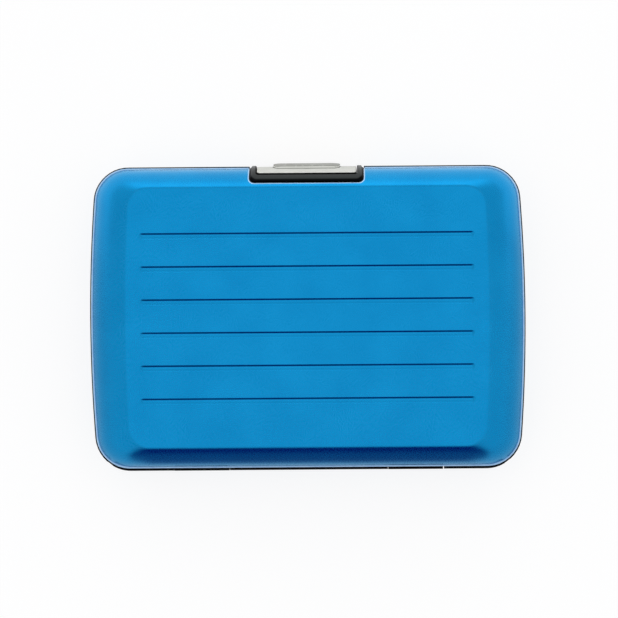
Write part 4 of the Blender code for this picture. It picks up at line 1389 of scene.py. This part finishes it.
@dataclass
class ClaspLever:
    """The pale push lever: a plate flush with the case, a raised thumb pad, a hook and two pivot ears."""

    side: ClaspSide
    sizes: ClaspSizes
    side_gap: float = 0.0002
    end_gap: float = 0.00105
    flare: float = 0.00014
    proud: float = 0.0002
    thickness: float = 0.001
    corner: float = 0.0007
    edge_round: float = 0.00016
    pad_half_width: float = 0.0085
    pad_half_rise: float = 0.00425
    pad_bow: float = 0.0008
    pad_corner: float = 0.0007
    pad_core: float = 0.62
    pad_edge: float = 0.0006
    pad_crest: float = 0.00084
    pad_seam: float = 0.00014
    pad_taper: float = 0.0023
    # How much painted shade darkens the pad's crown, and its edge, foot and seam lines.
    crown_shade: float = 0.5
    line_shade: float = 0.85
    crown_ramp: Span = (0.9, 0.98)
    edge_share: float = 0.85
    edge_ramp: Span = (0.156, 0.036)
    foot_ramp: Span = (0.24, 0.04)
    seam_ramp: Span = (1.5, 1.25)
    seam_middle: float = 1.17
    seam_half: float = 0.17
    end_drop: float = 0.25
    pull_ramp: Span = (0.00192, 0.00072)
    edge_lines: Numbers = (0.0, 0.00004, 0.00008, 0.00012, 0.00017, 0.0003, 0.0005)
    crown_lines: Span = (-0.00075, -0.00035)
    rise_lines: Span = (-0.0003, 0.00027)
    outside_lines: Span = (0.00035, 0.00045)
    middle_reach: float = 0.0073
    outer_columns: Span = (0.0095, 0.0107)
    middle_rise: float = 0.0033
    crown_count: int = 6
    rise_count: int = 24
    middle_columns: int = 9
    middle_rows: int = 15
    line_digits: int = 7
    hook_gap: float = 0.0003
    hook_thick: float = 0.0012
    hook_reach: float = 0.002
    hook_nose: Span = (0.0004, 0.00062)
    hook_half: float = 0.005
    ear_radius: float = 0.0015
    ear_inset: float = 0.0023
    ear_thick: float = 0.0012
    ear_points: int = 20
    cut: float = 0.0001

    def plate_lines(self) -> tuple[np.ndarray, np.ndarray]:
        """X and height of the plate's grid lines, close together at its edges and at the pad's."""
        half = self.sizes.window_half - self.side_gap
        edge = np.array(self.edge_lines)
        crown = np.linspace(*self.crown_lines, self.crown_count)[:-1]
        close = np.concatenate([crown, np.linspace(*self.rise_lines, self.rise_count), self.outside_lines])
        middle = np.linspace(0, self.middle_reach, self.middle_columns)
        x = np.concatenate([middle, self.pad_half_width + close, self.outer_columns, half - edge])
        x = np.unique(np.round(x, self.line_digits))
        high = self.sizes.window_rise - self.end_gap
        rise = self.pad_half_rise + close
        middle = np.linspace(-self.middle_rise, self.middle_rise, self.middle_rows)
        z = np.concatenate([middle, rise, -rise, high - edge, edge - high])
        return np.concatenate([-x[:0:-1], x]), np.unique(np.round(z, self.line_digits))

    def bowed(self, x: np.ndarray, z: np.ndarray) -> np.ndarray:
        """X of the grid's points, drawn in beside the pad's ends by the fourth power of the height.

        The pull is full at the pad's end and fades evenly to nothing towards the middle and the plate's edge.

        Args:
            x: X of the points.
            z: Their height over the seam.

        Returns:
            The new x of each point."""
        near = ramp(np.abs(np.abs(x) - self.pad_half_width), *self.pull_ramp)
        pull = self.pad_bow * np.minimum(np.abs(z) / self.pad_half_rise, 1) ** 4 * near
        return x - np.sign(x) * pull

    def pad_out(self, x: np.ndarray, z: np.ndarray) -> np.ndarray:
        """A measure of the pad's shape: 1 on its round-cornered outline, and less the further inside."""
        across = np.maximum(1 + (np.abs(x) - self.pad_half_width) / self.pad_corner, 0)
        along = np.maximum(1 + (np.abs(z) - self.pad_half_rise) / self.pad_corner, 0)
        return np.hypot(across, along)

    def pad_share(self, out: np.ndarray) -> np.ndarray:
        """Share of the pad's full rise: a quarter round from 1 on its crown to 0 on its outline."""
        return np.sqrt(1 - ramp(out, self.pad_core, 1.0) ** 2)

    def pad_groove(self, out: np.ndarray) -> np.ndarray:
        """A narrow ridge function, 1 along the middle of the seam round the pad."""
        return ramp(np.abs(out - self.seam_middle), self.seam_half, 0.0)

    def pad_rise(self, x: np.ndarray, z: np.ndarray) -> np.ndarray:
        """How far the thumb pad stands above the plate.

        The pad is crowned by the square of the height, lower towards its two ends, and falls off by its
        quarter round, and a fine seam runs round it.

        Args:
            x: X of the points.
            z: Their height over the seam.

        Returns:
            The rise of each point."""
        out = self.pad_out(x, z)
        crown = self.pad_crest - (self.pad_crest - self.pad_edge) * (z / self.pad_half_rise) ** 2
        end = np.clip((np.abs(x) - self.pad_half_width) / self.pad_taper + 1, 0, 1)
        pad = crown * (1 - self.end_drop * end**2) * self.pad_share(out)
        return pad - self.pad_seam * self.pad_groove(out)

    def soil(self, x: np.ndarray, z: np.ndarray) -> np.ndarray:
        """How much painted shade darkens the plate: evenly on the pad's crown, most along the pad's edge,
        foot and seam.
        """
        out = self.pad_out(x, z)
        share = self.pad_share(out)
        edge = ramp(np.abs(share - self.edge_share), *self.edge_ramp)
        foot = np.where(out < 1, ramp(share, *self.foot_ramp), ramp(out, *self.seam_ramp))
        return np.maximum(
            self.crown_shade * ramp(share, *self.crown_ramp), self.line_shade * np.maximum(edge, foot)
        )

    def plate(self, surface: Surface) -> None:
        """Adds the plate with its pad: a grid over x and height, whose y is the skin's plus the pad's rise.

        Points near the corners are drawn in to a round-cornered outline, and the edge is rounded off; the
        rounded edge is lightened as wear and as a painted highlight. The edge's wall and the back take the
        black moulding as painted shade behind the pale front, and the wall flares to a wider back.

        Args:
            surface: The surface to add to."""
        x, z = self.plate_lines()
        grid_x, grid_z = np.meshgrid(x, z)
        half, r = x[-1], self.edge_round
        middle_z, half_z = (z[-1] + z[0]) / 2, (z[-1] - z[0]) / 2
        local = grid_z - middle_z
        above = np.maximum(np.abs(local) - (half_z - self.corner), 0)
        reach = half - self.corner + np.sqrt(np.maximum(self.corner**2 - above**2, 0))
        grid_x = grid_x / half * reach
        dx = np.abs(grid_x) - (half - self.corner)
        dz = np.abs(local) - (half_z - self.corner)
        outside = np.hypot(np.maximum(dx, 0), np.maximum(dz, 0)) + np.minimum(np.maximum(dx, dz), 0)
        depth = np.clip((self.corner - outside) / r, 0, 1)
        drop = r * (1 - np.sqrt(1 - (1 - depth) ** 2))
        front_y = self.side.y(grid_z, drop - self.proud) + self.pad_rise(grid_x, grid_z)
        back_y = self.side.y(grid_z, self.thickness)
        placed_x = self.bowed(grid_x, grid_z)
        front = np.stack([placed_x, front_y, grid_z], axis=-1)
        back = np.stack([placed_x * (1 + self.flare / half), back_y, grid_z], axis=-1)
        # The rounded edge is lightened as wear and as painted highlight, and the pad takes painted shade.
        surface.add(front, rubbed=1 - depth, soiled=self.soil(grid_x, grid_z))
        # The back and the edge wall take the black moulding as painted shade on the pale lever.
        surface.add(back, kind=1)
        edges = [
            np.concatenate([side[0, :-1], side[:-1, -1], side[-1, :0:-1], side[:0:-1, 0]])
            for side in (front, back)
        ]
        surface.add(np.stack(edges), round_columns=True, kind=1)

    def hook(self, surface: Surface) -> None:
        """Adds the hook that reaches in over the catch."""
        low = self.sizes.catch_top + self.hook_gap
        high = low + self.hook_thick
        tip = float(self.side.y(np.array(self.sizes.catch_top), self.thickness)) - self.hook_reach
        root = self.side.y(np.array([low, high]), self.thickness / 2)
        nose = [[tip + self.hook_nose[0], low + self.hook_nose[1]], [tip, low + self.hook_gap], [tip, low]]
        profile = np.array([[root[0], low], [root[1], high], *nose])
        solid_along_x(surface, profile, -self.hook_half, self.hook_half, self.cut)

    def ears(self, surface: Surface) -> None:
        """Adds the two round lugs that the lever turns by."""
        turn = np.linspace(math.pi / 2, math.pi * 3 / 2, self.ear_points)
        y = self.sizes.pivot_y + self.ear_radius * np.cos(turn)
        height = self.ear_radius * np.sin(turn) - self.sizes.pivot_drop
        web = self.side.y(height[[-1, 0]], self.thickness / 2)
        profile = np.column_stack([np.concatenate([y, web]), np.concatenate([height, height[[-1, 0]]])])
        outer = self.sizes.window_half - self.ear_inset
        for low in (outer - self.ear_thick, -outer):
            solid_along_x(surface, profile, low, low + self.ear_thick, self.cut)

    def build(self, finishes: Finishes) -> bpy.types.Object:
        """Builds the lever.

        Args:
            finishes: The case's materials.

        Returns:
            The new object."""
        surface = Surface()
        self.plate(surface)
        self.hook(surface)
        self.ears(surface)
        made = surface.piece("clasp_lever_moulded", [finishes.clasp, finishes.moulding])
        return dressed(made, "clasp", "clasp_lever")


@dataclass
class ClaspSpring:
    """The torsion spring: a leg on the housing's back wall, a coil about the pin, and a leg on the plate."""

    side: ClaspSide
    sizes: ClaspSizes
    wire: float = 0.000175
    pitch: float = 0.0008
    turns: int = 6
    clearance: float = 0.0003
    wall_leg: float = 0.0023
    plate_leg: float = 0.0021
    entry: float = math.radians(198.0)
    leave: float = math.radians(225.0)
    plate_back: float = 0.001
    steps: int = 36
    leg_steps: int = 5
    sides: int = 12

    def path(self) -> np.ndarray:
        """Centre line of the wire: a helix about the pin between two straight legs."""
        sizes = self.sizes
        radius = sizes.pin_radius + self.clearance + self.wire
        angle = np.linspace(self.entry, self.leave + 2 * math.pi * self.turns, self.steps * self.turns)
        x = np.linspace(-1, 1, len(angle)) * self.pitch * self.turns / 2
        coil = np.column_stack(
            [x, sizes.pivot_y + radius * np.cos(angle), radius * np.sin(angle) - sizes.pivot_drop]
        )
        plate_z = -sizes.pivot_drop - self.plate_leg
        first = [x[0], sizes.floor_y + self.wire, self.wall_leg - sizes.pivot_drop]
        last_y = float(self.side.y(np.array(plate_z), self.plate_back)) - self.wire
        leg_in = blended(np.array(first), coil[0], self.leg_steps)[:-1]
        leg_out = blended(coil[-1], np.array([x[-1], last_y, plate_z]), self.leg_steps)[1:]
        return np.concatenate([leg_in, coil, leg_out])

    def build(self, finishes: Finishes) -> bpy.types.Object:
        """Builds the spring: a circle carried along the centre line, with one side kept along X.

        Args:
            finishes: The case's materials.

        Returns:
            The new object."""
        path = self.path()
        tangent = np.gradient(path, axis=0)
        tangent /= np.linalg.norm(tangent, axis=1)[:, None]
        axis = np.array([1.0, 0.0, 0.0])
        across = axis - tangent * (tangent @ axis)[:, None]
        across /= np.linalg.norm(across, axis=1)[:, None]
        other = np.cross(tangent, across)
        turn = np.linspace(0, 2 * math.pi, self.sides, endpoint=False)[None, :, None]
        grid = path[:, None] + self.wire * (np.cos(turn) * across[:, None] + np.sin(turn) * other[:, None])
        made = Surface().tube(grid).piece("clasp_spring_wound", [finishes.steel])
        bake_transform(made)
        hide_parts("clasp_spring")
        return made


@dataclass
class SteelPin:
    """A straight steel pin along X with cut-back ends."""

    node: str
    low: float
    high: float
    y: float
    height: float
    radius: float
    cut_share: float = 0.25
    sides: int = 28

    def build(self, finishes: Finishes) -> bpy.types.Object:
        """Builds the pin: circles of its radius along X, smaller at the ends.

        Args:
            finishes: The case's materials.

        Returns:
            The new object."""
        cut = self.radius * self.cut_share
        x = np.array([self.low, self.low + cut, self.high - cut, self.high])
        radius = self.radius - np.array([cut, 0.0, 0.0, cut])
        grid = circles(x, radius, self.y, self.height, self.sides)
        made = Surface().tube(grid).piece(self.node + "_drawn", [finishes.steel])
        return dressed(made, "rear", self.node)


@dataclass
class CardAccordion:
    """The film pockets: folded film between the packed walls and dividers."""

    form: CaseForm
    pockets: int = 7
    film: float = 0.0003
    sheet: float = 0.0004
    wall_stack: float = 0.0082
    divider_half: float = 0.046
    divider_foot: float = -0.031875
    wall_half: float = 0.043
    wall_foot: float = -0.030675
    top: float = 0.013125
    base_half: float = 0.041
    corner_half: float = 0.0459
    side_fold: float = -0.0021
    base_fold: float = 0.00065
    clearance: float = 0.0003
    flat: float = 0.0007
    tab: float = 0.0018
    hem: float = 0.0003
    overlap: float = 0.0001
    fold_power: float = 1.2
    fold_steps: int = 8
    bend_steps: int = 4000
    rows: int = 10
    made: list[bpy.types.Object] = field(default_factory=list)

    def heights(self) -> np.ndarray:
        """Heights of the walls and dividers over the seam, the end walls included."""
        return np.linspace(-self.wall_stack, self.wall_stack, self.pockets + 1)

    def profile(self, gap: int, edge: float, wall_edge: float, fold: float) -> np.ndarray:
        """Outward place and height of the film across one pocket: flat, a rounded fold, and flat.

        Args:
            gap: Number of the pocket, from 0 at the rear wall.
            edge: Outward place of the dividers' edge.
            wall_edge: Outward place of the end walls' edge.
            fold: How far the fold lies outside the edge, or inside it where negative.

        Returns:
            The points, shaped n, 2."""
        z = self.heights()
        low, high = z[gap], z[gap + 1]
        tab_z = self.wall_stack - self.sheet / 2 - self.clearance / 2 - self.film / 2
        line = edge + self.clearance + self.film / 2
        if gap == 0:
            hem = [[wall_edge - self.hem, -tab_z], [wall_edge, self.hem - tab_z]]
            last = [[line, high - self.flat / 2], [line, high]]
            return np.array([[wall_edge - self.tab, -tab_z], *hem, *last])
        if gap == self.pockets - 1:
            return self.profile(0, edge, wall_edge, fold)[::-1] * (1, -1)
        share = np.linspace(0, 1, self.fold_steps + 1)[1:-1]
        out = line + fold * np.sin(math.pi * share) ** self.fold_power
        bend = np.column_stack([out, low + self.flat / 2 + share * (high - low - self.flat)])
        first, last = [[line, low], [line, low + self.flat / 2]], [[line, high - self.flat / 2], [line, high]]
        return np.concatenate([first, bend, last])

    def strip(self, profile: np.ndarray, low: float, high: float) -> np.ndarray:
        """The film of one pocket: its profile offset to both sides by half its thickness, carried along.

        Args:
            profile: Outward place and height of its middle line.
            low: Start of the run.
            high: End of the run.

        Returns:
            A grid shaped rows, columns, 3, of run, outward place and height."""
        along = np.gradient(profile, axis=0)
        along /= np.linalg.norm(along, axis=1)[:, None]
        normal = np.column_stack([-along[:, 1], along[:, 0]]) * self.film / 2
        ring = np.concatenate([profile + normal, (profile - normal)[::-1]])
        run = np.linspace(low, high, self.rows)
        places = np.broadcast_to(run[:, None], (self.rows, len(ring)))
        return np.stack([places, *np.broadcast_to(ring.T[:, None], (2, self.rows, len(ring)))], axis=-1)

    def folded(self, name: str, grid: np.ndarray, node: str, finishes: Finishes) -> None:
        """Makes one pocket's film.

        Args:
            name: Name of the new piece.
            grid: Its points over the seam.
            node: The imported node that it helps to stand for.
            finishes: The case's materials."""
        piece = Surface().tube(grid).piece(name, [finishes.film])
        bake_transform(piece)
        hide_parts(node)
        self.made.append(piece)

    def build(self, finishes: Finishes) -> list[bpy.types.Object]:
        """Builds the folded film; between two dividers its sides and its base meet in the corners.

        Args:
            finishes: The case's materials.

        Returns:
            The new pieces."""
        for gap in range(self.pockets):
            side = self.profile(gap, self.divider_half, self.wall_half, self.side_fold)
            inner = 0 < gap < self.pockets - 1
            grid = self.strip(side, self.divider_foot - self.overlap if inner else self.wall_foot, self.top)
            right = np.stack([grid[..., 1], grid[..., 0], grid[..., 2]], axis=-1)
            self.folded(f"gusset_right_fold_{gap + 1}", right, "gusset_right", finishes)
            self.folded(f"gusset_left_fold_{gap + 1}", right * (-1, 1, 1), "gusset_left", finishes)
            base = self.profile(gap, -self.divider_foot, -self.wall_foot, self.base_fold)
            half = self.corner_half if inner else self.base_half
            grid = self.strip(base, -half, half)
            under = np.stack([grid[..., 0], -grid[..., 1], grid[..., 2]], axis=-1)
            self.folded(f"pocket_base_fold_{gap + 1}", under, "pocket_base", finishes)
        return self.made


@dataclass
class CardHolder:
    """The whole case."""

    form: CaseForm = field(default_factory=CaseForm)
    sizes: ClaspSizes = field(default_factory=ClaspSizes)
    clasp_pin_end: float = 0.001
    hinge_pin: Span = (0.014, 0.0457)
    hinge_pin_radius: float = 0.0004

    def build(self, finishes: Finishes) -> list[bpy.types.Object]:
        """Builds every piece in order, from the outside in.

        Args:
            finishes: The case's materials.

        Returns:
            The new pieces."""
        side = ClaspSide(self.form)
        made = []
        for half, body in ((Half.REAR, "rear"), (Half.FRONT, "lid")):
            made.append(PressedShell(half, body, self.form).build(finishes))
            made.append(MouldedFrame(half, body, self.form).build(finishes))
            made.append(ClaspHousing(half, body, side, self.sizes).build(finishes))
        made.append(ClaspLever(side, self.sizes).build(finishes))
        made.append(ClaspSpring(side, self.sizes).build(finishes))
        sizes, hinge_y, radius = self.sizes, self.form.hinge_y, self.hinge_pin_radius
        reach = sizes.window_half + self.clasp_pin_end
        inner, outer = self.hinge_pin
        pins = (
            SteelPin("clasp_pin", -reach, reach, sizes.pivot_y, -sizes.pivot_drop, sizes.pin_radius),
            SteelPin("hinge_pin_left", -outer, -inner, hinge_y, 0.0, radius),
            SteelPin("hinge_pin_right", inner, outer, hinge_y, 0.0, radius),
        )
        made += [pin.build(finishes) for pin in pins]
        made += CardAccordion(self.form).build(finishes)
        return made

    @staticmethod
    def dress_packed(finishes: Finishes) -> None:
        """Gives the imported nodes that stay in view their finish, by the record's slots."""
        by_slot = {
            "black_moulding": finishes.moulding,
            "pocket_film": finishes.film,
            "anodised_shell": finishes.anodised,
            "grey_clasp": finishes.clasp,
            "pin_steel": finishes.steel,
        }
        for part in frame["record"]["subparts"]:
            node = frame["nodes"][part["node"]]
            for slot in node.material_slots:
                slot.material = by_slot[part["material_slot"]]


@dataclass
class Studio:
    """The pale floor, the soft lamps and the camera over the case."""

    view_width: float = 0.15626
    lens: float = 200.0
    sensor: float = 36.0
    aim: Span = (0.00029, 0.00206)
    aside: float = 0.0136
    roll: float = math.radians(0.42)
    clip: Span = (0.01, 20.0)
    floor_reach: float = 4.0
    floor_white: float = 0.2
    floor_rough: float = 0.9
    floor_seen: float = 0.83
    floor_mirrored: Span = (0.62, 1.0)
    floor_rise: Span = (0.005, 0.045)
    floor_edge: Span = (-0.061, -0.043)
    floor_side: Span = (0.005, 0.02)
    floor_fan: float = 0.55
    lamp_place: Point = (0.0, 0.25, 1.6)
    lamp_size: Span = (1.2, 0.9)
    lamp_radiance: float = 0.2
    backdrop: float = 0.96
    tent: float = 0.85
    tent_slope: float = 0.9
    tent_bounds: Span = (0.68, 1.0)
    opening: Colour = (0.0, 0.012, 0.20)
    opening_width: Span = (math.radians(34.0), math.radians(18.0))
    opening_lean: float = 0.06
    opening_top: Span = (math.radians(68.0), math.radians(52.0))

    def floor(self) -> None:
        """Lays a white floor that keeps the case's shadow.

        The camera sees it evenly bright. Reflections see it brighter towards the clasp side, by an eased
        step of y. Beyond an eased bound of y in front of the hinge they see it in the opening's colour, as
        far as x without its sign, plus a share of y, is below another: so this strip fans out."""
        mesh = bpy.data.meshes.new("floor")
        corners = np.array([[-1, -1, 0], [1, -1, 0], [1, 1, 0], [-1, 1, 0]]) * self.floor_reach
        mesh.from_pydata(corners.tolist(), [], [(0, 1, 2, 3)])
        paper = bpy.data.materials.new("floor_paper")
        paper.use_nodes = True
        wiring, nodes = Wiring(paper.node_tree), paper.node_tree.nodes
        shader = nodes["Principled BSDF"]
        white = (*[self.floor_white] * 3, 1.0)
        wiring.feed(shader, {"Base Color": white, "Roughness": self.floor_rough, "Specular IOR Level": 0.0})
        path = wiring.node("ShaderNodeLightPath")
        place = wiring.node("ShaderNodeTexCoord")
        parts = wiring.node("ShaderNodeSeparateXYZ", {"Vector": place.outputs["Object"]})
        seen, ahead = path.outputs["Is Camera Ray"], parts.outputs["Y"]
        side = wiring.reckoned("ABSOLUTE", parts.outputs["X"])
        fan = wiring.reckoned("MULTIPLY_ADD", ahead, self.floor_fan, side)
        lit = seen
        for value, bounds in ((ahead, self.floor_edge), (fan, self.floor_side)):
            lit = wiring.reckoned("MAXIMUM", lit, wiring.spread(value, bounds, eased=True))
        rise = wiring.spread(ahead, self.floor_rise, self.floor_mirrored, eased=True)
        reflected = wiring.reckoned("MULTIPLY", path.outputs["Is Glossy Ray"], rise)
        strength = wiring.reckoned("MULTIPLY_ADD", seen, self.floor_seen, reflected)
        colour = wiring.mixed(lit, self.opening, WHITE)
        glow = wiring.node("ShaderNodeEmission", {"Color": colour, "Strength": strength})
        added = wiring.node("ShaderNodeAddShader", {0: shader.outputs["BSDF"], 1: glow.outputs["Emission"]})
        wiring.feed(nodes["Material Output"], {"Surface": added.outputs["Shader"]})
        mesh.materials.append(paper)
        linked("floor", mesh)

    def lamp(self) -> None:
        """Hangs a rectangular soft lamp that faces the case.

        Its power is its brightness, where 1 is white, times pi and its area."""
        light = bpy.data.lights.new("overhead", "AREA")
        light.shape = "RECTANGLE"
        width, depth = self.lamp_size
        light.size, light.size_y = width, depth
        light.energy = self.lamp_radiance * math.pi * width * depth
        lamp = linked("overhead", light)
        lamp.location = self.lamp_place
        away = np.array(self.lamp_place) - np.array([0, 0, SEAM])
        away /= np.linalg.norm(away)
        lamp.rotation_euler = (math.acos(away[2]), 0, math.atan2(away[0], -away[1]))
        lamp.visible_camera = False

    def tent_light(self) -> None:
        """Surrounds the case with a white tent that is dim in an opening; the camera sees it white.

        The opening, on the hinge side, is the product of two eased steps, of the cosine of the level
        direction's angle to that side and of the sine of the elevation, and mixes the tent's white with
        the opening's colour. It narrows upwards, since a share of that sine is taken from the cosine.
        The tent grows brighter towards the clasp side, by an eased step of the direction's y."""
        world = bpy.data.worlds.new("tent")
        world.use_nodes = True
        wiring, nodes = Wiring(world.node_tree), world.node_tree.nodes
        tent = nodes["Background"]
        place = wiring.node("ShaderNodeTexCoord").outputs["Generated"]
        flat = wiring.vector("MULTIPLY", place, (1, 1, 0)).outputs["Vector"]
        heading = wiring.vector("NORMALIZE", flat).outputs["Vector"]
        towards = wiring.vector("DOT_PRODUCT", heading, (0, -1, 0)).outputs["Value"]
        parts = wiring.node("ShaderNodeSeparateXYZ", {"Vector": place})
        rise = parts.outputs["Z"]
        narrowed = wiring.reckoned("MULTIPLY_ADD", rise, -self.opening_lean, towards)
        across = wiring.spread(narrowed, tuple(math.cos(angle) for angle in self.opening_width), eased=True)
        up = wiring.spread(rise, tuple(math.sin(angle) for angle in self.opening_top), eased=True)
        colour = wiring.mixed(wiring.reckoned("MULTIPLY", across, up), WHITE, self.opening)
        brightness = (self.tent, self.tent * (1 + self.tent_slope))
        strength = wiring.spread(parts.outputs["Y"], self.tent_bounds, brightness, eased=True)
        wiring.feed(tent, {"Color": colour, "Strength": strength})
        backdrop = wiring.node("ShaderNodeBackground", {"Color": (*WHITE, 1.0), "Strength": self.backdrop})
        seen = wiring.node("ShaderNodeLightPath").outputs["Is Camera Ray"]
        sides = {1: tent.outputs["Background"], 2: backdrop.outputs["Background"]}
        mixed = wiring.node("ShaderNodeMixShader", {0: seen, **sides})
        wiring.feed(nodes["World Output"], {"Surface": mixed.outputs["Shader"]})
        bpy.context.scene.world = world

    def camera(self) -> None:
        """Stands the camera to one side over the case, its frame shifted back, turned by a slight roll."""
        view = bpy.data.cameras.new("camera")
        view.lens, view.sensor_width = self.lens, self.sensor
        camera = linked("camera", view)
        distance = self.view_width * self.lens / self.sensor
        turned = self.aside * np.array([math.cos(self.roll), -math.sin(self.roll)])
        camera.location = (*(np.array(self.aim) + turned), SEAM + distance)
        view.shift_x = -self.aside / self.view_width
        camera.rotation_euler = (0, 0, -self.roll)
        view.clip_start, view.clip_end = self.clip
        bpy.context.scene.camera = camera

    def build(self) -> None:
        """Sets up the floor, the lamp, the tent and the camera."""
        self.floor()
        self.lamp()
        self.tent_light()
        self.camera()
        bpy.context.scene.view_settings.view_transform = "Standard"


def main() -> None:
    """Builds the case and the studio, and notes each piece that is made."""
    logging.basicConfig(level=logging.INFO, format="%(message)s")
    finishes = Finishes()
    CardHolder.dress_packed(finishes)
    for piece in CardHolder().build(finishes):
        LOG.info("made %s", piece.name)
    Studio().build()


if __name__ == "__main__":
    main()
